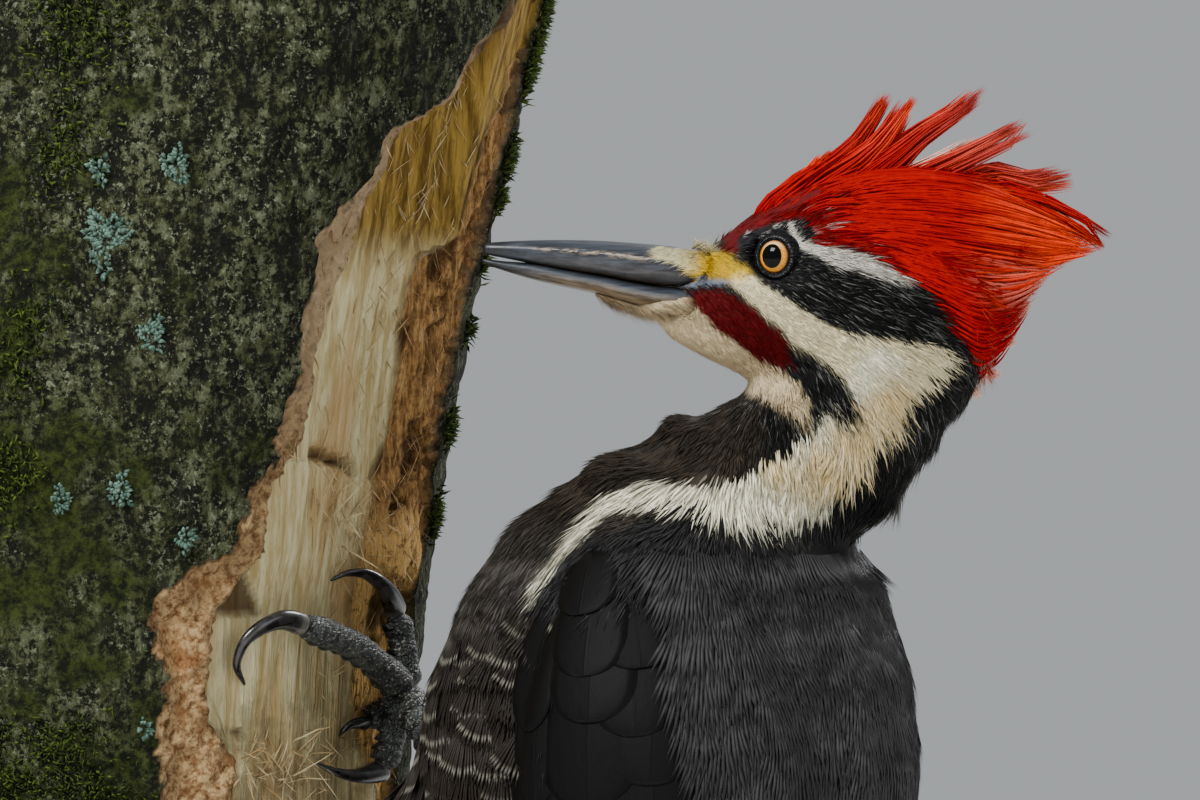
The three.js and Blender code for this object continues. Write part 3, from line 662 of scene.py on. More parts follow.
def pit_zones(turn, z):
    """Depth under the bark, and how far a point is bared wood, torn inner bark, its rusty right part, and
    painted shade in holes, cracks and shaded hollows.

    The bark breaks off steeply to plates of inner bark; these break off to the wood, which has upright
    steps, a cross crack and a proud part under it; right of it rusty fibres rise to the torn edge."""
    per_degree = LOG["radius"] * DEG
    rows = np.asarray(TORN)
    edges = [round_turn(np.interp(z, rows[:, 0], rows[:, c]), z, radius)
             for c, radius in ((1, 91), (2, 88), (3, 83))]
    where = np.stack([turn * per_degree, z], -1)

    def rough(size, seed, upright=1.0):
        return noise(where * [1, upright], size, seed)

    ragged = np.round(1.6 * rough(11, 17, 0.7)) * 1.5 + rough(6, 2) + 0.9 * rough(2.4, 3)
    ragged = ragged + 0.5 * rough(1.1, 1)
    from_left = (turn - edges[0]) * per_degree + ragged
    from_right = (83 - turn) * per_degree + 1.2 * ragged - 6 * ease(290 - z, 0, 30)
    inside = np.minimum(np.minimum(from_left, from_right), (z - 236) * 0.9 + 3 * ragged)
    to_wood = (turn - edges[1]) * per_degree + 0.9 * rough(3, 4, 0.4) + 0.6 * rough(1.2, 5)
    past_wood = (turn - edges[2]) * per_degree + 2.4 * rough(5, 6, 0.35)
    in_wood, rust, torn = ease(to_wood, -0.4, 0.9), ease(past_wood, -0.5, 2.0), ease(inside, 0.0, 0.5)
    layers = np.round(2.2 * rough(6.5, 9, 0.8) + 0.8 * rough(2.2, 18)) * 0.8
    shelf = 2.3 + 0.8 * ease(inside, 0, 5) + layers + 0.5 * rough(2, 8) - 1.6 * hump(inside - 1.4, 1.2)
    shaded_hole = ease(rough(5.5, 10, 0.45) + 0.35 * rough(1.8, 11), 0.2, 0.55)
    steps = rough(5, 15, 0.07)
    proud = 1.4 * ease(365.5 - 0.15 * (where[..., 0] - 60) - z, -0.3, 0.3) * ease(z, 328, 345)
    cut = z - 366.6 + 0.19 * (to_wood - 14) + 0.5 * rough(4, 19)
    slit = hump(cut, 1.0) * ease(to_wood, 11, 15) * ease(42 - to_wood, 0, 6)
    across = between(LOG_LINE, z)[..., 0] + 88 * np.sin(turn * DEG) + 0.8 * rough(3, 24)
    # Painted shade: the hollow left of the wood, in the shadow cast by the plates' edge; it is also dug
    # deeper.
    shaded_hollow = ease(lerp(36, 41, (342 - z) / 14) - across, -0.4, 0.6)
    shaded_hollow = shaded_hollow * ease(z, 326.5, 328) * ease(343.5 - z, 0, 1.5)
    knot = hump(across - 35, 2.2) * hump(z - 298.6 + 0.3 * (across - 35), 1.0)
    cleft = hump(across - 90 - 0.44 * (z - 459), 2.2) * ease(z, 454, 460)
    flake = hump(across - 70, 7) * hump(z - 341, 8)
    fibres = 2.4 + 3.0 * shaded_hole + 1.1 * rough(1.6, 12, 0.12) + 0.8 * rough(2.2, 13) - 3.0 * flake
    floor = pit_floor(turn, z) + 0.35 * rough(1.1, 14, 0.03) + 0.6 * steps + 0.5 * (steps > 0.3) - proud
    floor = floor + 3.5 * slit + rough(9, 16, 0.5) * ease(z, 415, 425) + 1.6 * shaded_hollow + 2.0 * knot
    depth = lerp(np.maximum(shelf, 0.2), np.maximum(floor, 2.5), in_wood)
    depth = lerp(depth, np.maximum(fibres, lerp(floor * 0.9, 0, ease(past_wood, 2, 15))), rust)
    # Painted shade: dark paint in the rot holes, the cross crack, the knot hole, the cleft and the shaded
    # hollow left of the wood.
    shade_in_hollows = np.maximum.reduce([
        shaded_hole * (1 - 0.9 * ease(flake, 0.2, 0.6)) * rust, in_wood * slit, in_wood * shaded_hollow, in_wood * knot,
        cleft])
    wood = in_wood * (1 - rust)
    return depth * ease(inside, -0.3, 0.9), wood * torn, (1 - wood) * torn, rust * torn, shade_in_hollows * torn


def trunk():
    """The trunk as one closed grid of turn and height, its columns closest over the pit.

    Radius is the frame's, plus upright ridges of bark and finer grain, less the pit's depth. The sawn
    ends carry their share of the radius, for the growth rings."""
    columns = np.concatenate(
        [np.linspace(8, 92, 128, endpoint=False), np.linspace(92, 368, 144, endpoint=False)])
    turn, height = np.meshgrid(columns, np.linspace(LOG["bottom"], LOG["top"], 330))
    depth, wood, inner, rust, shaded_hole = pit_zones(turn, height)
    where = xyz(np.sin(turn * DEG) * LOG["radius"], np.cos(turn * DEG) * LOG["radius"], height)
    ridges = 1.0 - np.abs(noise(where * [1, 1, 0.45], 9, 11)) * 2
    bark = 0.9 * noise(where * [1, 1, 0.5], 21, 10) + 0.7 * ridges + 0.7 * noise(where, 3.6, 12)
    cover = 1 - np.maximum(wood, inner)
    sides = at_radius(log_radius(turn, height) + cover * bark - depth, turn, height)
    lid_share = np.array([0.998, 0.985, 0.962, 0.95, 0.9, 0.75, 0.6, 0.45, 0.3, 0.15, 0.05])
    lids = []
    for row, lift in ((sides[0], 0.15), (sides[-1], -0.15)):
        centre = np.array([between(LOG_LINE, row[0, 2])[0], LOG["line_y"], row[0, 2]])
        rings = centre + (row[None] - centre) * lid_share[:, None, None]
        rings[1:, :, 2] += lift * noise(rings[1:, :, :2] * [1, 0.15], 2.5, 13)
        lids.append(rings)
    moss = ease(waves(where, (0.5, 30, 14), (0.5, 9, 15)) + 0.9 * np.cos((turn + 50) * DEG), 0.35, 0.95)
    # Coat holds the rust, the painted shade of holes, cracks and hollows, and the sawn ends' share.
    masks = np.stack([wood, inner, moss * cover, rust, shaded_hole, 0 * wood], -1)
    sawn = np.zeros((len(lid_share), len(columns), 6))
    sawn[..., 0] = (lid_share < 0.955)[:, None]
    sawn[..., 5] = lid_share[:, None]
    masks = np.concatenate([sawn[::-1], masks, sawn]).reshape(-1, 6)
    masks = np.concatenate([masks, [[1, 0, 0, 0, 0, 0.01]] * 2])
    put("trunk", closed_skin(np.concatenate([lids[0][::-1], sides, lids[1]])), trunk_finish(),
        ["perch_log"], masks[:, 3:], masks[:, :3])


# ---- blades: the small feathers, hairs, moss and splinters ----

PATCH = 0.003  # how much of the coat's unwrap one blade takes


def slivers(middle, side, top, width, t, foot=0.5, peak=0.35, power=1.7, thick=0.3):
    """Closed three-sided strands round middle lines (strands x points x 3), as (corners, faces), each
    corner's share of the length, and its place in the strand's patch.

    The section is a flat triangle: foot of the width at the root, all of it at the peak's share t, and
    1 - ((t - peak) / (1 - peak))^power of it from there to the point."""
    taper = lerp(foot, 1, np.clip(t / peak, 0, 1)) * (1 - np.clip((t - peak) / (1 - peak), 0, 1) ** power)
    half = (width[:, None] * taper / 2)[..., None]
    rings = np.stack([middle - side * half, middle + side * half, middle + top * half * 2 * thick], 2)
    corners = np.concatenate([rings[:, :-1].reshape(len(middle), -1, 3), middle[:, -1:]], 1).reshape(-1, 3)
    share = np.append(np.repeat(t[:-1], 3), 1.0)
    sideways = np.append(np.tile([-0.5, 0.5, 0.0], len(t) - 1), 0.0)
    return (corners, [strand_faces(len(middle), len(t) - 1)]), share, np.stack([sideways, share - 0.5], -1)


def blades(root, normal, along, length, width, rise, bend, curve, base, tip, cuts=(0, 0.4), thick=0.3,
           mixes=None):
    """Blades, one a root, with their colours and patch: root + along s + normal (rise s - curve s^2 / 2)
    + side bend s^2 / length. mixes gives how far the colour has gone from base to tip at each cut and
    at the point."""
    t = np.append(cuts, 1.0)
    root, normal, along = root[:, None], normal[:, None], along[:, None]
    s = length[:, None, None] * t[:, None]
    rise, bend, curve = rise[:, None, None], (bend / length)[:, None, None], curve[:, None, None]
    side = np.cross(along, normal)
    middle = root + along * s + normal * (rise * s - 0.5 * curve * s**2) + side * bend * s**2
    body, share, patch = slivers(middle, side, normal, width, t, thick=thick)
    mixed = share if mixes is None else np.append(np.repeat(mixes[:-1], 3), mixes[-1])
    colours = base[:, None] + (tip - base)[:, None] * mixed[None, :, None]
    return body, colours.reshape(-1, 3), patch


def coat_piece(name, finish, slot, root, body, colours, patch, stands_for=()):
    """A piece of blades, each a small patch of the map OFBake at its root's place on the skin's unwrap."""
    places = (unwrap(root)[:, None] + patch[None] * PATCH).reshape(-1, 2)
    put(name, body, finish, stands_for, colours, maps={"OFBake": places})


def grow(name, finish, slot, roots, sway, length, width, rise, bend, base, tip, sink=0.3, cuts=(0, 0.4)):
    """A coat of single feathers on roots (place, normal, lie, curvature), sunk a little, turned by sway."""
    root, normal, flow, curve = roots
    coat_piece(name, finish, slot, root, *blades(
        root - normal * sink, normal, turned(flow, normal, sway), length, width, rise, bend, curve, base, tip,
        cuts))


# ---- the skin ----

def in_plane(out, z):
    """A point of the body's middle plane, out from the trunk's line."""
    foot = np.array([BODY_LINE_X, LOG["line_y"], 0.0])
    return foot + np.asarray(out)[..., None] * BACK + np.asarray(z)[..., None] * UP


def on_body(z, turn, height=0.0):
    """A point over the body at a turn, in radians, from the back's midline towards the bird's left."""
    out, depth, width = np.moveaxis(between(BODY, z), -1, 0)
    ahead = ((depth + height) * np.cos(turn))[..., None] * BACK
    return in_plane(out, z) + ahead + ((width + height) * np.sin(turn))[..., None] * LEFT


def wing_height(z, turn):
    """How far the wing's outer face stands over the body: a rounded slab, gone past its edges."""
    row = between(WING, z)
    share = np.abs(turn / DEG - row[..., 0]) / row[..., 1]
    return 1.2 + row[..., 2] / 2 * np.sqrt(np.clip(1 - share**2.5, 0, 1))


def wing_bed(side):
    """The folded arm: rings round the wing's slab, a little inside it, down to where only feathers go on."""
    z = np.linspace(350, 172, 40)[:, None]
    middle, half, thickness = np.moveaxis(between(WING, z), -1, 0)
    turn = (middle + (half - 2) * bowed(np.cos(around(28)), 0.8)) * DEG
    height = 1.2 + (thickness / 2 - 0.3) * np.sin(around(28))
    rings = on_body(z + 0 * turn, side * turn, height)
    return closed_skin(rings if side > 0 else rings[:, ::-1])


def crest_core():
    """The crest's solid middle under its feathers: upright oval sections across the head's middle plane,
    drawn in to a blunt cone at the back."""
    x = np.linspace(146, 214, 34)[:, None]
    top, bottom, half = np.moveaxis(between(CREST, x), -1, 0)
    close = ease(x, 190, 214)
    up = ((top - bottom) / 2 - 2) * np.cos(around(24)) * lerp(1, 0.22, close)
    out = (half - 2) * np.sin(around(24)) * lerp(1, 0.35, close)
    return closed_skin(xyz(x, HEAD_Y - out, lerp((top + bottom) / 2, 413, close) + up))


def neighbours_mean(values, edges):
    """The mean of each corner's neighbours."""
    total = np.stack([
        np.bincount(edges[:, 0], column[edges[:, 1]], len(values))
        + np.bincount(edges[:, 1], column[edges[:, 0]], len(values)) for column in values.T], -1)
    return total / np.maximum(np.bincount(edges.reshape(-1), minlength=len(values)), 1)[:, None]


def corner_normals(points, quads):
    across = np.cross(points[quads[:, 2]] - points[quads[:, 0]], points[quads[:, 3]] - points[quads[:, 1]])
    return unit(np.stack([
        np.bincount(quads.reshape(-1), np.repeat(column, 4), len(points)) for column in across.T], -1))


FLESH = ["head", "neck", "torso", "thigh_left", "thigh_right"]
VOXEL = 1.45


def remeshed_flesh():
    """One closed mesh of even quads over the flesh, the crest's middle and the folded arms."""
    joint = bmesh.new()

    def join(mesh):
        joint.from_mesh(mesh)
        bpy.data.meshes.remove(mesh)

    for name in FLESH:
        part = bmesh.new()
        part.from_mesh(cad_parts[name].data)
        bmesh.ops.remove_doubles(part, verts=part.verts, dist=1e-6)
        part.normal_update()
        for corner in part.verts:
            corner.co += corner.normal * 0.25 * MM
        spare = bpy.data.meshes.new("spare")
        part.to_mesh(spare)
        part.free()
        join(spare)
    for body in (crest_core(), wing_bed(1), wing_bed(-1)):
        join(new_mesh("spare", *body)[0])
    mesh = bpy.data.meshes.new("flesh")
    joint.to_mesh(mesh)
    joint.free()
    blank = linked("flesh", mesh)
    remesh = blank.modifiers.new("even", "REMESH")
    remesh.mode = "VOXEL"
    remesh.voxel_size = VOXEL * MM
    remesh.adaptivity = 0
    done = blank.evaluated_get(bpy.context.evaluated_depsgraph_get()).to_mesh()

    def read(items, label, each, kind):
        values = np.zeros(len(items) * each, kind)
        items.foreach_get(label, values)
        return values

    points = read(done.vertices, "co", 3, float).reshape(-1, 3) / MM
    quads = read(done.loops, "vertex_index", 1, int).reshape(-1, 4)
    edges = read(done.edges, "vertices", 2, int).reshape(-1, 2)
    bpy.data.objects.remove(blank)
    return points, quads, edges


def fold(points):
    """Points brought to the bird's left by a mirror in its middle plane, which way they lay, the side
    vector of the plane at each, and how far out from it they were."""
    row = between(MIDDLE, points[:, 2])
    yaw = row[:, 2] * DEG
    side = np.stack([-np.sin(yaw), -np.cos(yaw), 0 * yaw], -1)
    away = dot(points - np.column_stack([row[:, :2], points[:, 2]]), side)
    on_left = away[:, 0] >= 0
    return np.where(on_left[:, None], points, points - 2 * away * side), on_left, side, away[:, 0]


# The coat's lie on the bird's left, in its own profile: [x, z, forward or back, up or down].
LIE = [
    [142, 417, 0.75, 0.65], [152, 406, 0.6, -0.7], [156, 403, 0.8, -0.6], [166, 397, 0.85, -0.5],
    [178, 391, 0.8, -0.6], [190, 386, 0.85, -0.5], [199, 385, 0.75, -0.65], [171, 409, 0.9, -0.45],
    [183, 403, 0.9, -0.4], [195, 398, 0.9, -0.4], [200, 394, 0.8, -0.6], [173, 413, 0.95, -0.3],
    [185, 409, 0.85, -0.5], [145, 403, 0.8, -0.6], [154, 395, 0.75, -0.65], [162, 389, 0.75, -0.65],
    [123, 402, 0.9, -0.4], [137, 395, 0.85, -0.5], [149, 388, 0.75, -0.65], [156, 382, 0.5, -0.85],
    [162, 378, 0.45, -0.9], [155, 378, 0, -1], [146, 373, -0.6, -0.8], [134, 371, -0.85, -0.5],
    [122, 365, -0.85, -0.55], [113, 359, -0.75, -0.65], [173, 380, 0.65, -0.75], [180, 378, 0.4, -0.9],
    [190, 378, 0.3, -0.95], [173, 367, -0.35, -0.93], [162, 356, 0, -1], [156, 348, 0.1, -1],
    [138, 356, -0.4, -0.9], [128, 355, -0.75, -0.65], [116, 348, -0.7, -0.7], [105, 336, -0.5, -0.85],
    [99, 322, -0.25, -0.97], [206, 379, -0.15, -0.98], [199, 367, -0.35, -0.93], [190, 355, -0.35, -0.93],
    [181, 348, 0.05, -1], [178, 331, 0.2, -0.97], [161, 331, 0.08, -1], [142, 331, -0.15, -1],
    [185, 307, 0.05, -1], [156, 295, -0.1, -1], [90, 322, -0.35, -0.93], [78, 298, -0.15, -1],
    [80, 250, 0.2, -1], [110, 200, 0.1, -1], [150, 240, -0.15, -1], [130, 180, -0.35, -0.93],
    [105, 140, -0.4, -0.9], [160, 424, 0.75, 0.65], [175, 430, 0.85, 0.5], [190, 430, 0.95, 0.3],
    [205, 425, 0.98, 0.1], [215, 412, 0.97, 0.2], [208, 400, 0.9, 0.1], [210, 392, 0.75, -0.4],
    [195, 415, 0.95, 0.1], [180, 419, 0.95, 0.15], [165, 420, 0.85, 0.4],
]


def lie_of_coat(points, normals):
    """The way the feathers run at each point: the listed directions, weighed by 1 / distance^3, laid flat."""
    folded, on_left, side, _ = fold(points)
    lie = np.asarray(LIE, float)
    gap = np.linalg.norm(folded[:, None, ::2] - lie[None, :, :2], axis=-1)
    plane = (1 / (gap + 2.0) ** 3) @ unit(lie[:, 2:])
    flow = xyz(plane[:, 0], 0, plane[:, 1])
    return laid(np.where(on_left[:, None], flow, flow - 2 * dot(flow, side) * side), normals)


def bending(points, normals, flow, edges):
    """How tightly the skin curves along the lie, from how the normals turn along each edge."""
    step = points[edges[:, 1]] - points[edges[:, 0]]
    square = dot(step, step)[:, 0]
    curve = dot(normals[edges[:, 1]] - normals[edges[:, 0]], step)[:, 0] / square
    total, weights = np.zeros((2, len(points)))
    for end in edges.T:
        weight = dot(step, flow[end])[:, 0] ** 2 / square + 1e-3
        total += np.bincount(end, weight * curve, len(points))
        weights += np.bincount(end, weight, len(points))
    curve = (total / weights)[:, None]
    for _ in range(6):
        curve = 0.5 * curve + 0.5 * neighbours_mean(curve, edges)
    return np.clip(curve[:, 0], -0.03, 0.09)


# Where the skin lies higher or deeper, in profile: [x, z, half width].
FORENECK = [
    [74, 296, 1], [78, 310, 5], [86.6, 332, 6], [105, 357, 6], [119.5, 366.6, 5], [130, 370.5, 3],
    [137, 373, 1],
]
PUFF = [[119, 364, 1.5], [126, 368.5, 3.6], [137, 372.5, 1.6]]
JAW = [[128, 397, 1], [138.5, 394, 2], [148, 389, 2], [156, 384, 1]]
NAPE = [[204, 372, 1], [200, 365, 2], [193, 357, 0.5]]


def coat_depth(folded, away):
    """How far the skin lies under the outline: least at the face, more behind the neck; puffed out down the
    back's midline and along the foreneck."""
    x, z = folded[:, 0], folded[:, 2]
    depth = lerp(0.5, 1.3, ease(bill_gap(folded), 5, 45)) + 3.4 * band(x, z, NAPE, 6.0)
    depth = lerp(depth, -0.7, ease(22 - np.abs(away), 0, 9) * ease(x, 150, 162) * ease(346 - z, 0, 10))
    depth = lerp(depth, -0.6, band(x, z, FORENECK, 7.0))
    return depth - 4.4 * band(x, z, PUFF, 6.0) - 2.4 * band(x, z, JAW, 3.5)


def make_skin():
    """The skin's arrays: corners, quads, edges, normals, lie of the coat and curvature.

    The seams between the forms are smoothed away; what the broad shape lost by it is added back."""
    start, quads, edges = remeshed_flesh()
    loose = 0.5 * (1 - 0.6 * ease(fold(start)[0][:, 2], 372, 395))[:, None]
    points = start
    for _ in range(26):
        points = points + loose * (neighbours_mean(points, edges) - points)
    lost = start - points
    for _ in range(40):
        lost = neighbours_mean(lost, edges)
    points = points + lost
    folded, _, _, away = fold(points)
    points = points - corner_normals(points, quads) * coat_depth(folded, away)[:, None]
    for _ in range(3):
        points = points + 0.4 * (neighbours_mean(points, edges) - points)
    normals = corner_normals(points, quads)
    for _ in range(3):
        normals = unit(normals + neighbours_mean(normals, edges))
    flow = lie_of_coat(points, normals)
    return {"points": points, "quads": quads, "normals": normals, "flow": flow,
            "curve": bending(points, normals, flow, edges)}


# The spine that the coat's unwrap goes round: tail, back, neck, head, bill.
SPINE = np.concatenate([in_plane(*np.array(BODY)[:11:2, 1::-1].T), [
    [152, -68.5, 350], [163.5, -75, 362], [178, -80.5, 373.5], [186, -82, 388], [180, -82, 400],
    [160, -82, 405], [120, -82, 408]]])


def unwrap(points):
    """Where a point lies on the skin's unwrap: round its spine one way, and along it the other."""
    starts, steps = SPINE[:-1], np.diff(SPINE, axis=0)
    lengths = np.linalg.norm(steps, axis=1)
    t = np.clip(((points[:, None] - starts) * steps).sum(-1) / lengths**2, 0, 1)
    nearest = starts + t[..., None] * steps
    pick = np.linalg.norm(points[:, None] - nearest, axis=-1).argmin(1)
    rows = np.arange(len(points))
    along = (np.concatenate([[0], np.cumsum(lengths)])[pick] + t[rows, pick] * lengths[pick]) / lengths.sum()
    side = fold(points)[2]
    away = points - nearest[rows, pick]
    top = np.cross(steps[pick] / lengths[pick][:, None], side)
    turn = np.arctan2(dot(away, side)[:, 0], dot(away, top)[:, 0]) / (2 * np.pi) + 0.5
    return 0.01 + 0.98 * np.stack([turn, along], -1)


# ---- markings ----

# Bands of colour on the bird's left, in profile: [x, z, half width], tapering from point to point.
CHEEK = [
    [151.2, 407.3, 1.7], [156.4, 403, 2.9], [163.6, 397.3, 4], [170.7, 391.9, 4.8], [177.9, 387.8, 5.7],
    [186.2, 384.5, 7.4], [193.3, 385, 6.4], [199.8, 386.4, 3.8],
]
NECK_BAND = [
    [186, 381.6, 8.1], [182.1, 372.8, 7.6], [172.6, 362.6, 7.4], [163.6, 355.4, 8.6], [152.9, 352.6, 5.7],
    [139.8, 354, 3.6], [127.9, 355.4, 3.2], [118.6, 353, 2], [111.2, 344.7, 1.4], [105.5, 337.1, 1.1],
    [101.7, 328.8, 0.9], [99, 320, 0.5],
]
GOLD = [
    [201, 386, 5], [193, 378, 6], [184.5, 370, 7], [175, 361.5, 6.5], [166, 360, 4.5], [158, 361.5, 2.5],
]
EYE_STRIPE = [
    [160, 412.6, 6.2], [166, 409.8, 5], [175.5, 406.1, 4.5], [185, 402.2, 4.9], [194.5, 398.6, 6.2],
    [200, 394.8, 4.4],
]
BROW = [
    [164, 420, 0.7], [165, 417.8, 0.8], [166, 415.9, 0.9], [168.3, 415.1, 1.1], [171.3, 413.9, 1.4],
    [174.7, 412.4, 1.9], [178.8, 411.3, 2.4], [183.1, 409.7, 2.5], [186.4, 408, 2.2], [189.5, 406.9, 1.6],
    [192.9, 405.9, 0.8],
]
MALAR = [[141.7, 403, 2.1], [147.4, 400, 4], [154, 395.2, 4.5], [160, 390.7, 3.8], [164.3, 387.8, 2.1]]
GAPE = [[137, 407, 0.8], [143, 406.8, 1.1], [149.5, 406.2, 0.6]]
MOUSTACHE = [[166, 388.8, 2.1], [169.5, 385, 3.1], [175, 378.8, 3.6], [178.3, 373, 3.1]]
CHIN = [
    [118.3, 402.6, 1.4], [127.9, 399.2, 3.1], [139.8, 393.5, 3.3], [150.5, 387.3, 4], [158.8, 382.1, 4.5],
    [164.8, 376.9, 3.3], [167.4, 372.1, 1.2],
]
YELLOW = [[134.5, 411.1, 1.7], [139.8, 411.1, 2.4], [146.4, 411.1, 3.1], [151.2, 408.8, 2.4]]
SLATE = [[154.5, 415.4, 3.3], [160, 418.5, 2.7], [163.2, 419.9, 1.6]]
# The crown's lower edge: red above it.
RED_EDGE = [
    [143.3, 415], [146.9, 414], [150.2, 414], [153.3, 416.6], [156.2, 419.2], [160.5, 420.9],
    [164.8, 421.9], [167.9, 423], [170.7, 416.1], [173.3, 414.5], [179.3, 414.5], [183.3, 413.3],
    [186.4, 410.7], [192.9, 407.3], [198.8, 402.6], [203.1, 395], [207.6, 387.1], [209.5, 381.6],
    [213, 372],
]

# ORANGE, the crest's tip colour, is partly its own colour and partly a painted highlight.
BLACK, SOOT, CREAM, WHITE, BUFF, CHIN_TAN, MALAR_RED, BLUSH, CRIMSON, SCARLET, ORANGE, OCHRE = np.array([
    [0.0085, 0.0080, 0.0078], [0.042, 0.032, 0.022], [0.88, 0.78, 0.50], [0.92, 0.88, 0.68],
    [0.78, 0.60, 0.30], [0.68, 0.54, 0.33], [0.105, 0.0004, 0.0014], [0.95, 0.60, 0.48],
    [0.11, 0.0006, 0.002], [0.38, 0.0004, 0.0003], [1.0, 0.062, 0.004], [0.82, 0.52, 0.015]])


def band(x, z, line, soft=0.5):
    """1 inside a tapering band: the nearest segment's half width there, less the distance to it."""
    line = np.asarray(line, float)
    a, b = line[:-1], line[1:]
    step = b[:, :2] - a[:, :2]
    p = np.stack([x, z], -1)[:, None] - a[None, :, :2]
    t = np.clip((p * step).sum(-1) / (step**2).sum(-1), 0, 1)
    gap = np.linalg.norm(p - t[..., None] * step, axis=-1) - lerp(a[:, 2], b[:, 2], t)
    return ease(-gap.min(1), -soft, soft)


def painted(colour, paint, amount):
    return colour + (np.asarray(paint) - colour) * amount[:, None]


def red_edge(x):
    """The height of the crown's lower edge."""
    return np.interp(x, *np.array(RED_EDGE).T)


def markings(points):
    """The plumage's colours at each point, laid one over another on the left and mirrored to the right."""
    folded = fold(points)[0]
    x = folded[:, 0] + waves(points, (0.6, 3.0, 20), (0.3, 1.2, 22))
    z = folded[:, 2] + waves(points, (0.6, 3.0, 21), (0.3, 1.2, 23))
    mottle = noise(points, 2.5, 24)
    front = np.interp(z, [300, 320, 335, 345, 356], [96, 99, 106, 118, 160])
    throat = ease(z, 384, 392) * ease(x, 118, 124) * ease(165 - x, 0, 8) * (z < 402)
    pale = band(x, z, NECK_BAND, 0.8) * lerp(1.0, ease(mottle, -0.8, -0.1), ease(128 - x, 0, 12))
    over = z - red_edge(x)
    crown = ease(over, -0.6, 0.6)
    red = crown * ease(x, 147, 148)
    warm = ease((x - 150) / 120 + 0.35 * mottle + 0.2 - 0.3 * ease(158 - x, 0, 8), 0, 1)[:, None]
    slate = band(x, z, SLATE)
    colour = BLACK + 0 * folded
    for paint, amount in (
            (SOOT, lerp(0.35, 0.95, ease(mottle, -0.5, 0.7)) * ease(front - x, 0, 5)),
            (CHIN_TAN, band(x, z, CHIN, 1.0)), (CHIN_TAN, throat * 0.9), (CREAM, band(x, z, CHEEK)),
            (WHITE, pale), (BUFF, pale * band(x, z, GOLD, 3.0) * (0.85 + 0.3 * mottle)),
            (BLACK, band(x, z, EYE_STRIPE, 0.7)),
            (BLACK, band(x, z, np.array(MALAR) + [0, 0.9, 0]) * 0.85), (MALAR_RED, band(x, z, MALAR, 0.4)),
            ((0.20, 0.23, 0.29), band(x, z, GAPE, 0.4)),
            (BLACK, band(x, z, MOUSTACHE, 0.9) * (0.6 + 0.4 * (mottle > -0.3))),
            (OCHRE, band(x, z, YELLOW, 1.2) * (0.75 + 0.25 * mottle)),
            ((0.46, 0.40, 0.22), crown * ease(147 - x, 0, 1.0)),
            (BLACK, 0.5 * crown * ease(148 - x, 0, 0.8) * ease(x, 145.2, 146)),
            (lerp(CRIMSON, SCARLET, warm), red),
            ((0.4, 0.28, 0.26), 0.7 * red * (mottle > 0.55) * ease(18 - over, 0, 12) * ease(x, 166, 174)),
            ((0.012, 0.012, 0.014), slate), ((0.42, 0.40, 0.34), slate * (mottle > 0.35) * (z > 417.6)),
            ((0.70, 0.66, 0.58), band(x, z, BROW))):
        colour = painted(colour, paint, amount)
    return colour


# ---- feathers over the skin ----

def scatter(skin, weight, count, seed):
    """Roots over the skin: triangles in proportion to area times weight, and a random place in each.

    Returns the places, normals, lies and curvatures there, and the draw."""
    draw = np.random.default_rng(seed)
    quads = skin["quads"]
    triangles = np.concatenate([quads[:, [0, 1, 2]], quads[:, [0, 2, 3]]], 1).reshape(-1, 3)
    corner = skin["points"][triangles]
    area = np.linalg.norm(np.cross(corner[:, 1] - corner[:, 0], corner[:, 2] - corner[:, 0]), axis=1)
    total = np.cumsum(area * weight[triangles].mean(1))
    pick = np.searchsorted(total, (np.arange(count) + draw.random(count)) / count * total[-1])
    pick = triangles[np.minimum(pick, len(triangles) - 1)]
    a, b = draw.random((2, count, 1))
    a, b = np.where(a + b > 1, 1 - a, a), np.where(a + b > 1, 1 - b, b)
    shares = np.stack([1 - a - b, a, b], 1)
    point, normal, flow, curve = [(skin[key].reshape(len(skin[key]), -1)[pick] * shares).sum(1)
                                  for key in ("points", "normals", "flow", "curve")]
    normal = unit(normal)
    return (point, normal, laid(flow, normal), curve[:, 0]), draw


def turned(flow, normal, angle):
    """The lie turned about the normal."""
    return flow * np.cos(angle)[:, None] + np.cross(normal, flow) * np.sin(angle)[:, None]


def seen(roots, length, share):
    """The plumage's colours where that share of a feather lies, since a feather shows by its outer part."""
    root, normal, flow, curve = roots
    s = (length * share)[:, None]
    return markings(root + flow * s - normal * curve[:, None] * s**2 / 2)


def even_roots(skin, where, turn, across, down, draw):
    """One corner of the skin for each cell of a staggered lattice round and down the body: the corner
    nearest its cell's middle, moved a little off it."""
    z = skin["points"][:, 2]
    row = np.floor(z / down)
    shifted = turn * DEG * 52 / across + 0.5 * (row % 2)
    column = np.floor(shifted)
    gap = np.hypot((shifted - column - 0.5) * across, (z / down - row - 0.5) * down) + 1e3 * (where < 0.5)
    order = np.lexsort((gap, column, row))
    first = np.append(True, (np.diff(column[order]) != 0) | (np.diff(row[order]) != 0))
    pick = order[first & (where[order] > 0.5)]
    normal, flow = skin["normals"][pick], skin["flow"][pick]
    jitter = draw.normal(0, 0.08, (2, len(pick), 1)) * across
    root = skin["points"][pick] + flow * jitter[0] + np.cross(normal, flow) * jitter[1]
    return root, normal, flow, skin["curve"][pick], pick


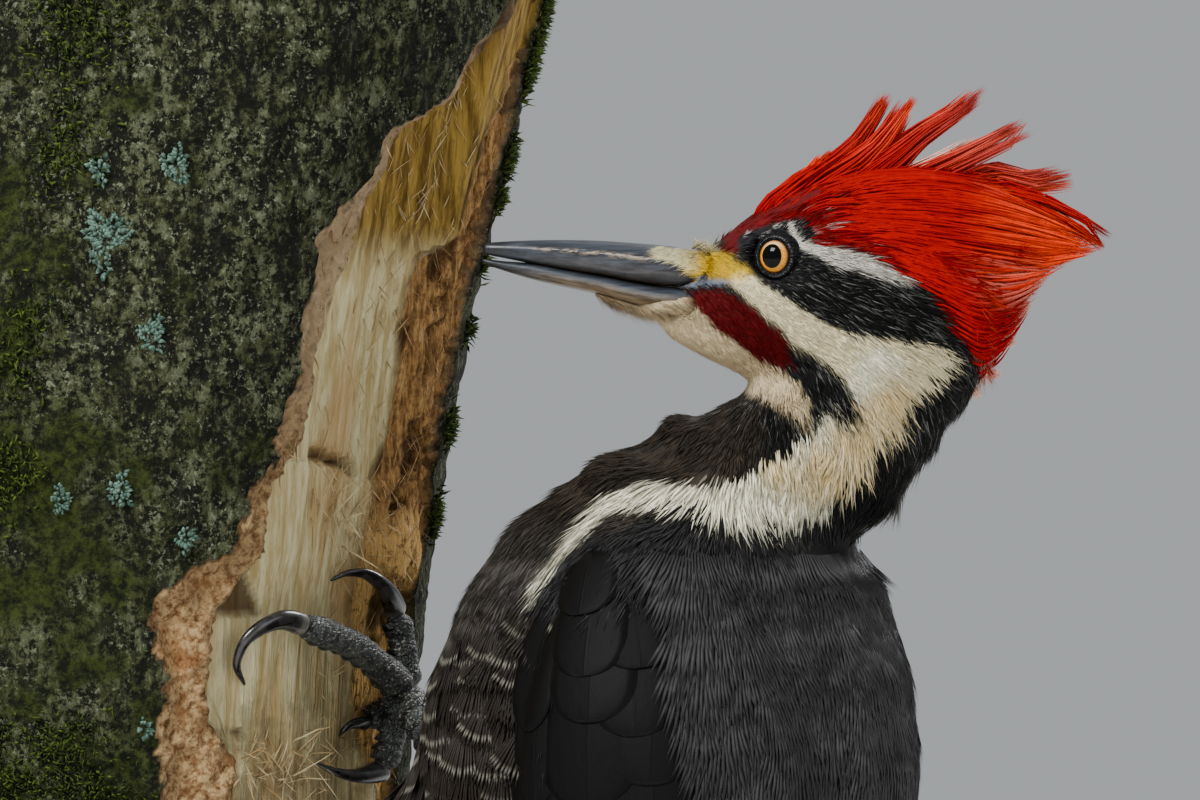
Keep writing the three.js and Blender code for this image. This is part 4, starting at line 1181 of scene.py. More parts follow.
def fans(name, finish, roots, size, angle, lift, tones, paint, draw, barbs, cuts, mixes, wide):
    """Contour feathers, each a fan of narrow barbs with a rounded end: turned up to that angle from its
    middle line, shorter towards its sides and crowned in the middle."""
    n = len(size)
    fan = np.linspace(-1, 1, barbs)
    flat = 1 - fan[None] ** 2
    root, normal, flow, curve, tones = [np.repeat(values, barbs, 0) for values in (*roots, tones)]
    slide = (fan[None] * 0.21 * size[:, None]).reshape(-1, 1)
    turn = (-fan[None] * angle + draw.normal(0, 0.02, (n, barbs))).reshape(-1)
    sides = 0.26 if mixes is None else 0.05
    length = (size[:, None] * (1 - sides * (1 - flat)) * draw.uniform(0.97, 1.03, (n, barbs))).reshape(-1)
    at = root + np.cross(flow, normal) * slide + normal * (0.45 * flat + lift[:, None] - 0.5).reshape(-1, 1)
    base, tip = paint((root, normal, flow, curve), length, tones)
    coat_piece(name, finish, "black_plumage", root, *blades(
        at, normal, turned(flow, normal, turn), length, wide * draw.uniform(0.85, 1.15, n * barbs),
        0.06 + 0.02 * np.repeat(draw.normal(0, 1, n), barbs), 0.10 * np.tile(fan, n), curve, base, tip,
        cuts, 0.14, mixes))


def bill_gap(points):
    """Distance from the bill's root, in profile."""
    return np.hypot(points[:, 0] - 138, points[:, 2] - 408)


def eye_gap(folded):
    """Distance from the eye's middle, in profile."""
    return np.hypot(folded[:, 0] - EYE["x"], folded[:, 2] - EYE["z"])


# How far the mantle reaches from the back's midline: [z, turn].
SCAPULARS = [[165, 8], [190, 18], [212, 30], [236, 42], [260, 52], [284, 59], [310, 65], [336, 69], [350, 74]]


def region_weights(skin):
    """How thickly each coat grows at each corner of the skin, by the bird's own regions.

    turn is degrees round the body from the back's midline, signed by side; the wing's own feathers lie
    from the mantle's edge round to the wing's front edge."""
    folded, _, _, away = fold(skin["points"])
    x, z = folded[:, 0], folded[:, 2]
    head = ease(z + 0.25 * (x - 180), 366, 374)
    red = head * ease(z - red_edge(x), -1, 1) * ease(x, 143, 144.5)
    bare = np.clip(ease(eye_gap(folded), 4.5, 5.2) + (np.abs(away) < 6), 0, 1)
    face = head * (1 - red) * bare * (1 - (x < 136.5) * (z > 402))
    row = between(BODY, z)
    spoke = skin["points"] - in_plane(row[:, 0], z)
    turn = np.arctan2(dot(spoke, LEFT)[:, 0] / row[:, 2], dot(spoke, BACK)[:, 0] / row[:, 1]) / DEG
    middle, half = between(WING, z).T[:2]
    scapulars = np.interp(z, *np.array(SCAPULARS).T)
    neck = ease(z + 5 * noise(skin["points"], 9, 95), 328, 338) * (1 - head)
    return {"face": face, "red": red * bare, "neck": neck, "body": (1 - ease(z, 338, 346)) * (1 - head),
            "away": away, "turn": turn, "scapulars": scapulars,
            "front": np.where(z > 348, scapulars, middle + half - 5), "z": z}


def face_coat(skin, weights, finish):
    """Short fine feathers over cheeks, brow and throat, 2 mm at the bill to 6 mm at the nape."""
    for side, name in SIDES:
        weight = weights["face"] * ease(side * weights["away"], -0.6, 0.6)
        weight = weight * lerp(1.9, 0.8, ease(bill_gap(skin["points"]), 8, 50))
        (root, normal, flow, curve), draw = scatter(skin, weight, 18000, 31 + side)
        n = len(root)
        folded = fold(root)[0]
        forward = folded[:, 0] + draw.normal(0, 1, n) < 150
        forward = forward & (folded[:, 2] > 407.5) & (folded[:, 2] < 413.5)
        roots = root, normal, np.where(forward[:, None], -flow, flow), curve
        grown = ease(bill_gap(folded), 4, 60)
        length = lerp(2.4, 6.6, grown) * draw.uniform(0.7, 1.3, n)
        length = length * lerp(0.5, 1, ease(eye_gap(folded), 5.5, 11)) * np.where(forward, 1.7, 1)
        sway = waves(root, (0.22, 4, 41), (0.16, 1.6, 42)) + draw.normal(0, 0.10, n)
        width = lerp(0.24, 0.40, grown) * draw.uniform(0.8, 1.2, n)
        tone = draw.uniform(0.84, 1.12, (n, 1))
        colours = seen(roots, length, draw.uniform(0.6, 1.05, n))
        fleck = (draw.random(n) < 0.26) * (colours[:, 1] < 0.03) * (colours[:, 0] < 0.05)
        colours = painted(colours, (0.16, 0.16, 0.15), fleck * draw.random(n)) * tone
        grow(f"face_feathers_{name}", finish, "white_plumage", roots, sway, length, width,
             draw.uniform(0.06, 0.30, n), draw.normal(0, 0.12, n), colours * 0.85, colours * 1.1, 0.25)


def neck_coat(skin, weights, finish):
    """Longer, loose, silky feathers down the neck, with spiky tips where the pale band ends. Grey tips at the
    nape's outer edge are painted rim light, and the black feathers low down carry a painted sheen.
    """
    x, _, z = skin["points"].T
    zone = weights["neck"] + 0.4 * weights["face"] * ease(x, 180, 192) * ease(z, 392, 378)
    for side, name in SIDES:
        roots, draw = scatter(skin, zone * ease(side * weights["away"], -0.8, 0.8), 9600, 51 + side)
        root = roots[0]
        n = len(root)
        folded, _, _, away = fold(root)
        short = 0.4 * ease(folded[:, 0], 172, 160) * ease(root[:, 2], 356, 372)
        length = draw.uniform(6.5, 10.5, n) * (1 - short)
        sway = waves(root, (0.26, 6, 61), (0.18, 2.4, 62)) + draw.normal(0, 0.08, n)
        tone = draw.uniform(0.84, 1.12, (n, 1))
        colours = seen(roots, length, draw.uniform(0.5, 0.9, n))
        pale = ease(colours[:, 1], 0.1, 0.4)
        # Painted rim light: grey tips along the nape's outer edge, as if lit from behind.
        edge = ease(3.5 - np.abs(away), 0, 2.5) * ease(root[:, 0], 176, 186)
        colours = painted(colours, (0.26, 0.24, 0.20), 0.8 * edge * draw.random(n) ** 1.5)
        # Painted sheen: the black feathers low on the neck are lightened to meet the mantle's sheen.
        colours = (colours + 0.022 * (ease(358 - root[:, 2], 0, 12) * (1 - pale))[:, None]) * tone
        length = length + 2.5 * pale * draw.random(n)
        grow(f"neck_feathers_{name}", finish, "black_plumage", roots, sway, length,
             draw.uniform(0.4, 0.75, n), draw.uniform(0.05, 0.22, n) + 0.25 * edge * draw.random(n),
             draw.normal(0, 0.1, n), colours * 0.82, colours * 1.1, cuts=(0, 0.45))


def body_coat(skin, weights, finish):
    """Mantle, breast and flank: fine black fans over the back and sooty ones in front, both with a painted
    sheen, and flank feathers that each carry a thin pale bar."""
    turn, z, scapulars, front = [weights[key] for key in ("turn", "z", "scapulars", "front")]
    flank = (abs(turn) > front + 4) & (abs(turn) < 158) & (z < 332 - 0.2 * (abs(turn) - 105)) & (z > 170)

    def dark(roots, length, tones):
        colours = seen(roots, length, 0.7) * tones[:, None]
        # Painted sheen: a grey highlight added over the black feathers, brightest at their tips.
        painted_sheen = 0.036 + 0.012 * noise(roots[0], 8, 81)[:, None]
        return colours * 0.9 + painted_sheen * 0.7, colours * 1.1 + painted_sheen * [1.0, 0.93, 1.02]

    def barred(roots, _, tones):
        brown = np.array([0.021, 0.017, 0.014]) + 0.006 * noise(roots[0], 3, 82)[:, None]
        bar = 0.7 * ease(tones, 0.8, 1.05)[:, None]
        return brown * tones[:, None], lerp(brown, np.array([0.22, 0.21, 0.17]), bar)

    plain = 9, (0, 0.45), None, 1.05
    parts = [
        ("mantle", abs(turn) < scapulars, 4.2, 4.0, 12.5, 0.20, 0.8, dark, plain),
        ("breast", (abs(turn) > front) & ~flank, 5.0, 4.6, 11.5, 0.24, 0.4, dark, plain),
        ("flank", flank, 9.5, 6.6, 14.0, 0.36, 0.3, barred,
         (13, (0, 0.64, 0.73, 0.82), (0, 0, 1, 0, 0), 1.5)),
    ]
    for seed, (label, where, across, down, size, angle, lift, paint, build) in enumerate(parts):
        for side, name in SIDES:
            draw = np.random.default_rng(70 + 2 * seed + side)
            place = where * weights["body"] * (np.sign(turn) == side)
            root, normal, flow, curve, pick = even_roots(skin, place, turn, across, down, draw)
            n = len(pick)
            sizes = size * draw.uniform(0.9, 1.1, n)
            flow = turned(flow, normal, 0.16 * noise(root, 16, 71) + draw.normal(0, 0.05, n))
            over_wing = 1.6 * ease(abs(turn[pick]) - scapulars[pick], -16, -3) * (label == "mantle")
            fans(f"{label}_feathers_{name}", finish, (root, normal, flow, curve), sizes, angle,
                 lift + over_wing, draw.uniform(0.75, 1.25, n), paint, draw, *build)


# Crest locks on the middle plane: points [x, z] from root to tip, how far the tip leans to the left, strands
# and how pink they are.
CREST_LOCKS = [
    ([[158.8, 425.2], [167.1, 431.6], [173.1, 438.5]], 1.5, 110, 0.0),
    ([[163.6, 426.4], [179, 439], [187.5, 452]], -1.0, 190, 0.03),
    ([[166, 425.9], [183, 438.6], [192.5, 451.5]], 2.0, 160, 0.03),
    ([[168.3, 425.2], [185, 436.4], [192.6, 449.5]], -2.5, 170, 0.05),
    ([[170.7, 424], [187.4, 435.9], [196.9, 443.5], [204, 447.8], [211.5, 454]], 0.5, 260, 0.06),
    ([[174, 423], [184, 427.5], [192, 431.8], [201, 436.5], [209, 441]], 0.0, 320, 0.85),
    ([[177.9, 422.8], [202.9, 435.7], [220, 445]], 2.5, 240, 0.1),
    ([[185, 420.4], [210, 432.8], [220.7, 431], [231, 432.8]], -2.0, 280, 0.08),
    ([[189.8, 416.9], [213.6, 426.4], [227.9, 422.1], [238.4, 414.9]], 1.0, 420, 0.0),
    ([[196.9, 407.3], [213.6, 412.1], [225.3, 409.2]], -1.5, 190, 0.25),
    ([[201.7, 400.2], [213.4, 400.2], [220.6, 402.2]], 1.5, 140, 0.3),
    ([[204, 393], [212.2, 391.9], [217.2, 393.8]], -1.0, 130, 0.6),
    ([[204.2, 388.6], [210, 385.5], [213.7, 384.5]], 1.0, 120, 0.95),
    ([[203, 386], [206.5, 381.5], [208.5, 378.8]], -0.5, 80, 1.0),
]
# Where the long feathers on the crest's sides end, from the lowest up: [x, z].
SWEEP_ENDS = [
    [214.5, 391], [219, 397], [222, 402.7], [227.5, 410], [238.4, 414.6], [238.4, 415.2], [231, 420],
    [224.5, 424.5], [220, 428.5], [214, 433],
]


def crest_coat(skin, weights, finish):
    """The crown's short red feathers, and those that clothe the crest's sides."""
    for side, name in SIDES:
        roots, draw = scatter(skin, weights["red"] * ease(side * weights["away"], -0.7, 0.7), 6400, 91 + side)
        root, normal, flow, curve = roots
        x, _, z = root.T
        n = len(root)
        back = ease(x, 146, 200)
        length = lerp(4, 13, back) * lerp(0.5, 1, ease(z, 390, 408)) * draw.uniform(0.7, 1.2, n)
        colours = seen(roots, length, 0.7)
        # Orange tips towards the back: partly the feathers' own colour, partly a painted highlight.
        hot = np.where((draw.random(n) < 0.25)[:, None], ORANGE, SCARLET)
        tip = lerp(colours, hot, 0.6 * back[:, None] * (colours[:, :1] > 0.08))
        dark = 0.9 * (draw.random(n) < 0.16 * ease(x, 190, 175)) * (z > 422)
        fringe = ease(x, 198, 205) * ease(z, 395, 386) * (draw.random(n) < 0.75)
        tip = painted(painted(tip, BLACK, dark), (0.72, 0.40, 0.33), fringe)
        sway = waves(root, (0.10, 7, 93), (0.08, 2.5, 94)) + draw.normal(0, 0.04, n)
        grow(f"crown_feathers_{name}", finish, "red_plumage", (root, normal, flow, curve * 0.9), sway, length,
             lerp(0.35, 0.6, back) * draw.uniform(0.8, 1.2, n), draw.uniform(0.03, 0.15, n),
             draw.normal(0, 0.08, n), painted(colours, BLACK, dark) * draw.uniform(0.6, 1.0, (n, 1)), tip)


def crest_sweep(skin, weights, finish):
    """Long sleek feathers on the crest's sides: each leaves the skin the way the coat lies there and bends
    to its own place along the crest's back edge, drawing in to the middle plane as it goes. The line is
    start (1 - t)^3 + 3 first t (1 - t)^2 + 3 last t^2 (1 - t) + end t^3."""
    x = skin["points"][:, 0]
    zone = weights["red"] * ease(x, 160, 170) * ease(x, 210, 203)
    for side, name in SIDES:
        weight = zone * ease(side * weights["away"], -0.5, 0.5)
        (root, normal, flow, _), draw = scatter(skin, weight, 2300, 97 + side)
        n = len(root)
        x, _, z = root.T
        top = np.interp(x, *np.array(CREST)[:, :2].T)
        rank = np.clip((z - red_edge(x)) / np.maximum(top - red_edge(x), 4) + draw.normal(0, 0.05, n), 0, 1)
        end = line_at(SWEEP_ENDS, rank)
        end = xyz(end[:, 0], HEAD_Y - side * draw.uniform(0.3, 2.6, n), end[:, 1])
        along = np.linspace(0, 1, 7)[None] * draw.uniform(0.35, 1.0, (n, 1)) ** 0.7
        first = root + flow * np.linalg.norm(end - root, axis=1)[:, None] * 0.42
        start, first, last, end = [p[:, None] for p in (root, first, lerp(first, end, 0.62), end)]
        t = along[..., None]
        lines = start * (1 - t) ** 3 + 3 * first * t * (1 - t) ** 2 + 3 * last * t**2 * (1 - t) + end * t**3
        out = lerp(np.abs(root[:, 1:2] - HEAD_Y) + 0.4, 1.2, ease(along, 0.1, 1.05))
        lines[..., 1] = HEAD_Y - side * (out + 1.5 * np.sin(np.pi * along) * draw.uniform(0.75, 1.05, (n, 1)))
        lines[:, 0] = root - normal * 0.4
        hue = draw.random((n, 1))
        base = SCARLET * lerp(0.7, 1.0, ease(hue + 0.5 * ease(root[:, :1], 165, 205)))
        fringe = ease(0.42 - rank, 0, 0.2)[:, None]
        # Orange towards the tips and over the crest's rear: partly the feathers' own colour, partly a painted
        # highlight.
        tip = lerp(lerp(SCARLET, ORANGE, ease(hue, -0.2, 0.6)), BLUSH, 0.75 * fringe * (hue > 0.35))
        heat = ease(lines[..., 0] + 5 * hue, 206, 232) * ease(lines[..., 2], 398, 408)
        heat = np.maximum(heat, fringe * ease(along, 0.78, 1.0))
        strand_piece(f"crest_sweep_{name}", finish, lines, draw.uniform(0.4, 0.75, n), base, tip, heat)


def strand_piece(name, finish, lines, widths, base, tip, heat=None, stands_for=()):
    """Strands along lines (strands x points x 3), coloured from base to tip along their length, or by the
    heat given at each of their points."""
    tangent = unit(np.gradient(lines, axis=1))
    side = unit(np.cross(tangent, np.array([0.0, -1.0, 0.05])))
    t = np.linspace(0, 1, lines.shape[1])
    body, share, patch = slivers(lines, side, np.cross(side, tangent), widths, t, 0.25, 0.25, 2.4, 0.2)
    rate = ease(share, 0.4, 1.0)[None]
    if heat is not None:
        rate = np.concatenate([np.repeat(heat[:, :-1], 3, 1), heat[:, -1:]], 1)
    colours = (base[:, None] + (tip - base)[:, None] * rate[..., None]).reshape(-1, 3)
    coat_piece(name, finish, "red_plumage", lines[:, 0], body, colours, patch, stands_for)


def crest_locks(finish):
    """Long strands gathered in locks of seven cords: each strand follows its lock's line from inside the
    crown, shifted by its cord's share and its own, and cords draw in and stop unevenly towards the tip."""
    draw = np.random.default_rng(101)
    strands = []
    for points, lean, count, pink in CREST_LOCKS:
        points = np.array(points)
        points = np.concatenate([[points[0] - 0.3 * (points[1] - points[0]) - [0, 2.5]], points])
        cord = draw.integers(0, 7, (count, 1))
        stop = draw.uniform(0.92, 1.06, 7)[cord] * draw.uniform(0.93, 1.0, (count, 1))
        t = np.linspace(0, 1, 8)[None] * stop
        reach = np.linalg.norm(np.diff(points, axis=0), axis=1).sum()
        aside = lerp(0.12 * reach, 2.2, ease(t * 1.15)) * draw.uniform(-0.6, 0.6, 7)[cord]
        aside = aside + lerp(0.03 * reach, 0.3, ease(t)) * draw.normal(0, 0.8, (count, 1))
        aside = aside + (draw.normal(0, 0.02, 7)[cord] + draw.normal(0, 0.008, (count, 1))) * reach * t**2
        x, z = np.moveaxis(line_at(points, t), -1, 0)
        ahead, up = np.moveaxis(way_at(points, t, 0.02), -1, 0)
        y = HEAD_Y - lean * t - lerp(5.0, 0.8, ease(t)) * draw.normal(0, 0.5, (count, 1))
        width = draw.uniform(0.4, 0.8, count)
        hue = 0.4 * draw.random((count, 1)) + 0.6 * draw.random(7)[cord]
        blush = np.clip(pink + 0.25 * pink * draw.normal(0, 1, (count, 1)), 0, 1)
        base = lerp(lerp(CRIMSON, SCARLET, ease(hue, -0.4, 0.5)), BLUSH, blush * (pink > 0.5))
        # Orange tips: partly the feathers' own colour, partly a painted highlight.
        tip = lerp(lerp(SCARLET, ORANGE, ease(hue, 0.4, 1.0)), BLUSH, blush)
        strands.append((xyz(x - up * aside, y, z + ahead * aside), width, base, tip))
    strand_piece("crest_locks", finish, *map(np.concatenate, zip(*strands)), stands_for=["crest"])


# ---- wings and tail ----

def vane_faces(count, along, across):
    """Faces of closed blades of two grids, outer and inner, joined round their edges."""
    outer = grid_faces(along, across)
    i = np.arange(along - 1) * across
    j = np.arange(across - 1)
    last, back = (along - 1) * across, along * across
    rims = [np.stack([a, b, b + back, a + back], -1) for a, b in (
        (i, i + across), (i + 2 * across - 1, i + across - 1), (j + 1, j), (last + j, last + j + 1))]
    faces = np.concatenate([outer, outer[:, ::-1] + back, *rims])
    return (faces[None] + (np.arange(count) * 2 * back)[:, None, None]).reshape(-1, 4)


def vanes(name, finish, place, colours, outline, thickness, stands_for, flip=False, along=14, across=9):
    """Flat feathers as closed thin blades: place(across -1 to 1, along 0 to 1, width share) gives a point
    and its outward normal; the outline gives the width's share along the feather."""
    count = len(colours)
    v = 1 - (1 - np.linspace(0, 1, along)) ** 1.5
    u = np.linspace(-1, 1, across)
    point, normal = place(u[None, None, :], v[None, :, None], outline(v)[None, :, None])
    wall = thickness * (1 - 0.75 * u**2)[None, None, :, None] * lerp(1, 0.45, v)[None, :, None, None]
    body = np.stack([point, point - normal * wall], 1).reshape(-1, 3), [vane_faces(count, along, across)]
    grid = np.stack(np.broadcast_arrays(u[None, :] * 0.5 + 0.5, v[:, None]), -1)
    cells = int(np.ceil(np.sqrt(count * 2)))
    cell = np.arange(count * 2).reshape(count, 2)
    corner = np.stack([cell % cells, cell // cells], -1)[:, :, None, None]
    bake = ((corner + 0.06 + 0.88 * grid[None, None]) / cells).reshape(-1, 2)
    put(name, flipped(body) if flip else body, finish, stands_for,
        np.repeat(colours, 2 * along * across, 0), maps={"Vane": np.tile(grid.reshape(-1, 2), (count * 2, 1)),
                                                         "OFBake": bake})


def wing_rows():
    """Feathers of the folded wing, as rows of [root turn, root z, tip turn, tip z, half width, lift]:
    the leading edge, the visible coverts, secondaries, primaries and greater coverts."""
    rows = [np.linspace([104, 330, 101, 297, 6.5, 0.05], [95, 246, 80, 213, 6.5, 0.05], 7)]
    for column in range(3):
        k = np.arange(9 - column)
        turn = 90.2 - 14 * column - 2.2 * k
        z = 328.8 - 13.8 * k - 7 * (column % 2) - 6 * column
        rows.append(np.stack([turn + 2, z + 14 + 7 * np.minimum(k, 2), turn, z,
                              8.2 + 0.825 * np.minimum(k, 4), 0 * k + 0.3 - 0.15 * column], -1))
    rows += [np.linspace([92, 232, 62, 160, 7.5, 0.2], [36, 214, 22, 138, 7.5, 0.2], 10),
             np.linspace([80, 205, 44, 138, 6.5, 0], [44, 197, 26, 110, 6.5, 0], 9),
             np.linspace([95, 246, 90, 205, 8.2, 0.35], [41, 235.5, 36, 177, 8.2, 0.35], 8)]
    rows[5][:, 3] = 138 - 28 * np.linspace(0, 1, 9) ** 0.8
    rows = np.concatenate(rows)
    draw = np.random.default_rng(111)
    for column, stray in ((0, 1.0), (2, 1.3), (3, 1.6)):
        rows[:, column] += draw.normal(0, stray, len(rows))
    rows[:, 4] *= draw.uniform(0.92, 1.08, len(rows))
    return rows


def rounded_end(v):
    """A covert's outline: it widens from its root, then ends in a half oval."""
    oval = 1 - (np.clip(v - 0.6, 0, 1) / 0.405) ** 2.1
    return lerp(0.5, 1, ease(v / 0.3)) * np.sqrt(np.clip(oval, 0.012, 1))


def pointed_end(v):
    """A tail feather's outline: parallel sides, then a stiff worn point."""
    return lerp(0.75, 1, ease(v / 0.3)) * np.clip(1 - np.clip((v - 0.7) / 0.3, 0, 1) ** 1.6, 0.05, 1)


def wing_feathers(side, name, finish):
    """Each feather bends over the wing's slab: its roots lie low and its tip over the next row's roots."""
    rows = wing_rows()
    turn0, z0, turn1, z1, half, lift = rows.T[:, :, None, None]
    per_degree = 50 * DEG
    way = unit(np.stack([(turn1 - turn0) * per_degree, z1 - z0], -1))

    def place(u, v, share):
        offset = u * share * half
        turn = lerp(turn0, turn1, v) + way[..., 1] * offset / per_degree
        z = lerp(z0, z1, v) - way[..., 0] * offset
        height = wing_height(z, turn * DEG) - 1.2 + lerp(-0.8, 0.35, v) + lift + 0.35 * (1 - u**2) * share
        point = on_body(z, side * turn * DEG, height)
        return point, unit(on_body(z, side * turn * DEG, height + 1.0) - point)

    tone = np.random.default_rng(112).uniform(0.8, 1.2, (len(rows), 1))
    vanes(f"wing_feathers_{name}", finish, place, BLACK * 0.2 * tone * [1.0, 0.96, 1.0], rounded_end, 0.5,
          [f"wing_{name}"], flip=side > 0)


def tail_feathers(finish):
    """Stiff pointed feathers in a folded fan, the middle pair on top, bent in to prop on the bark."""
    line = in_plane(*np.array(TAIL_LINE, float).T)
    steps = np.arange(1 - TAIL["pairs"], TAIL["pairs"])[:, None, None]
    length = np.array(TAIL_LENGTHS)[np.abs(steps)]

    def place(u, v, share):
        along = v * length
        outward = unit(np.cross(LEFT, way_at(line, along, 1e-3)))
        spread = steps * lerp(TAIL["root_step"], TAIL["tip_step"], along)
        fall = -np.abs(steps) * TAIL["layer"] - 0.03 * spread**2 - 1.1 * u**2
        across = spread + u * share * TAIL["width"] / 2
        point = line_at(line, along) + across[..., None] * LEFT + fall[..., None] * outward
        return point, outward + 0 * point

    vanes("tail_feathers", finish, place, np.tile(BLACK * [1.3, 1.15, 1.0], (steps.size, 1)), pointed_end,
          TAIL["thickness"], ["tail"], along=24)


# ---- head: bill, eyes, lids, bristles ----

def bill(finish):
    """Both halves: oval sections squared a little, with a sharp culmen and a ridge along the side, their
    roots drawn in under the face's feathers."""
    up, out = np.cos(around(56)), np.sin(around(56))
    for name, rows, sign, level, lift, close, gleam, ivory, dark in (
            ("upper", BILL_UPPER, 1, 0.25, 0, 0.15, 1.0, (0.15, -0.2, 0.6), (0.55, 0.95)),
            ("lower", BILL_LOWER, -1, -0.1, 1.5, 0.25, 0.2, (0.95, -0.35, 0.55), (0.5, 0.9))):
        x = np.linspace(rows[0][0], rows[-1][0], 120)[:, None]
        top, bottom, half = np.moveaxis(between(rows, x), -1, 0)
        draw_in = lerp(1, 0.72, ease(x, 134, 150))
        meet = close * ease(x, 94, 105)
        middle = (top + bottom) / 2 + lift * ease(x, 130, 150) - sign * meet
        height = middle + ((top - bottom) / 2 * draw_in + meet) * bowed(up, 0.9)
        groove = hump(up - level, 0.10) - 0.8 * hump(up - level + 0.22, 0.12)
        width = half * draw_in * bowed(out, 0.8) * (1 - 0.28 * np.clip(sign * up, 0, 1) ** 2)
        width = width * (1 + 0.05 * groove * np.abs(out) ** 0.3 * ease(x, 94, 110))
        rings = xyz(x, HEAD_Y - width, height)
        rings[0, :, 0] += 0.15
        # Zones: ivory low down, the speckled ridge, and dark: painted shade along the edge where the halves
        # meet, with the tip's own darker horn.
        masks = zones(ivory[0] * ease(-up, *ivory[1:]) * ease(x, 93, 118),
                      gleam * hump(up - level, 0.11) * ease(x, 98, 108),
                      np.maximum(ease(-sign * up, *dark) * ease(x, 90, 100), 0.85 * ease(101 - x, 0, 8)))
        put(f"bill_{name}_horn", flipped(closed_skin(rings)), finish, [f"bill_{name}"], masks=masks)


def eye_frame(side):
    """The eye's middle, its outward axis, tipped forward, and two axes across it: ahead and up."""
    axis = unit(np.array([-0.30, -side, 0.02]))
    centre = np.array([EYE["x"] + 1.15, HEAD_Y - side * (EYE["out"] + 0.2), EYE["z"] - 0.3])
    ahead = unit(np.cross(UP, axis)) * side
    return centre, axis, ahead, np.cross(axis, ahead) * side


def eye_ball(side, name, finish):
    """A ball swept from its outward pole: angle out one way and round the other, bulging at the cornea.

    The map Rings holds two distances from the pole, as shares of a quarter turn: the upright oval of
    the iris, and that of the pupil, which lies a little ahead in it."""
    centre, axis, ahead, up = eye_frame(side)
    outward = np.linspace(0, np.pi, 72)[1:-1, None]
    cos, sin = np.cos(around(72)), np.sin(around(72))
    bulge = EYE["radius"] * (1 + 0.05 * ease(0.75 - outward, 0, 0.6))
    cross = cos[:, None] * ahead + sin[:, None] * up
    body = closed_skin(
        centre + bulge[..., None] * (np.cos(outward)[..., None] * axis + np.sin(outward)[..., None] * cross))
    forward, upward = outward / (np.pi / 2) * cos, outward / (np.pi / 2) * sin
    pupil = np.hypot((forward + 0.035) / 0.82, upward - 0.01)
    ovals = np.stack([np.hypot(forward / 0.88, upward), pupil], -1)
    ovals = np.concatenate([ovals.reshape(-1, 2), [[0.0, 0.05], [2.0, 2.0]]])
    put(f"eyeball_{name}", body if side < 0 else flipped(body), finish, [f"eye_{name}"],
        maps={"Rings": ovals})


def eyelid(side, name, finish):
    """A wrinkled ring round the eye: a low swell from just outside the iris to the feathers, taller than
    wide, creased by waves that run round and across it."""
    centre, axis, ahead, up = eye_frame(side)
    turn = around(160)
    across = np.linspace(0, 1, 16)[:, None]
    ring = hump(across - 0.34, 0.16)
    ball = np.sqrt(EYE["radius"] ** 2 - 4.0**2) + 0.15
    height = lerp(ball, 0.9, ease(across, 0.25, 1)) + 0.35 * ring
    height = height + 0.08 * (np.sin(turn * 41 + 4 * np.sin(turn * 3)) + np.sin(across * 30)) * ring
    cross = (np.cos(turn) * lerp(0.88, 0.96, across))[..., None] * ahead + np.sin(turn)[:, None] * up
    top = centre + lerp(4.0, 6.0, across)[..., None] * cross + height[..., None] * axis
    rings = np.concatenate([top, top[::-1] - 1.2 * axis])
    rows, columns = rings.shape[:2]
    body = rings.reshape(-1, 3), [grid_faces(rows + 1, columns, closed=True) % (rows * columns)]
    rim = hump(across - 0.38, 0.07) * (0.55 + 0.45 * np.sin(turn * 41))
    put(f"eyelid_{name}", flipped(body) if side < 0 else body, finish,
        masks=zones(np.concatenate([rim, 0 * rim]))[:-2])


def on_bill(rows, x, side, share, flat):
    """A point just off one half of the bill, its height a share of the half's own from its middle."""
    top, bottom, half = between(rows, x).T
    y = HEAD_Y - side * (half * np.sqrt(1 - share**2 * flat) + 0.1)
    return xyz(x, y, (top + bottom) / 2 + (top - bottom) / 2 * share)


def nasal_bristles(finish):
    """Stiff pale hairs that lie forward over the bill's root, yellow further back, thinning out ahead."""
    draw = np.random.default_rng(121)
    n = 3400
    side = 1.0 - 2 * (np.arange(n) % 2)
    x = 150 - 17.5 * draw.random(n) ** 1.7
    share = lerp(0.95, lerp(0.3, -0.5, ease(x, 136, 146)), draw.random(n))
    root = on_bill(BILL_UPPER, x, side, share, 0.85)
    normal = unit(xyz(-0.15, -side * np.sqrt(1 - share**2), share))
    flow = laid(xyz(-1, -0.15 * side * draw.random(n), draw.normal(-0.08, 0.17, n)), normal)
    colour = lerp(np.array([0.74, 0.68, 0.40]), OCHRE, ease(x + draw.normal(0, 1.6, n), 139.5, 145)[:, None])
    length = draw.uniform(1.2, 6.0, n) * lerp(0.7, 1.0, ease(x, 134, 146))
    roots = root, normal, flow, np.full(n, 0.01)
    grow("nasal_bristles", finish, "white_plumage", roots, np.zeros(n), length,
         draw.uniform(0.12, 0.22, n), draw.uniform(0.02, 0.2, n), draw.normal(0, 0.16, n),
         colour * 0.7, colour * 1.1, 0)


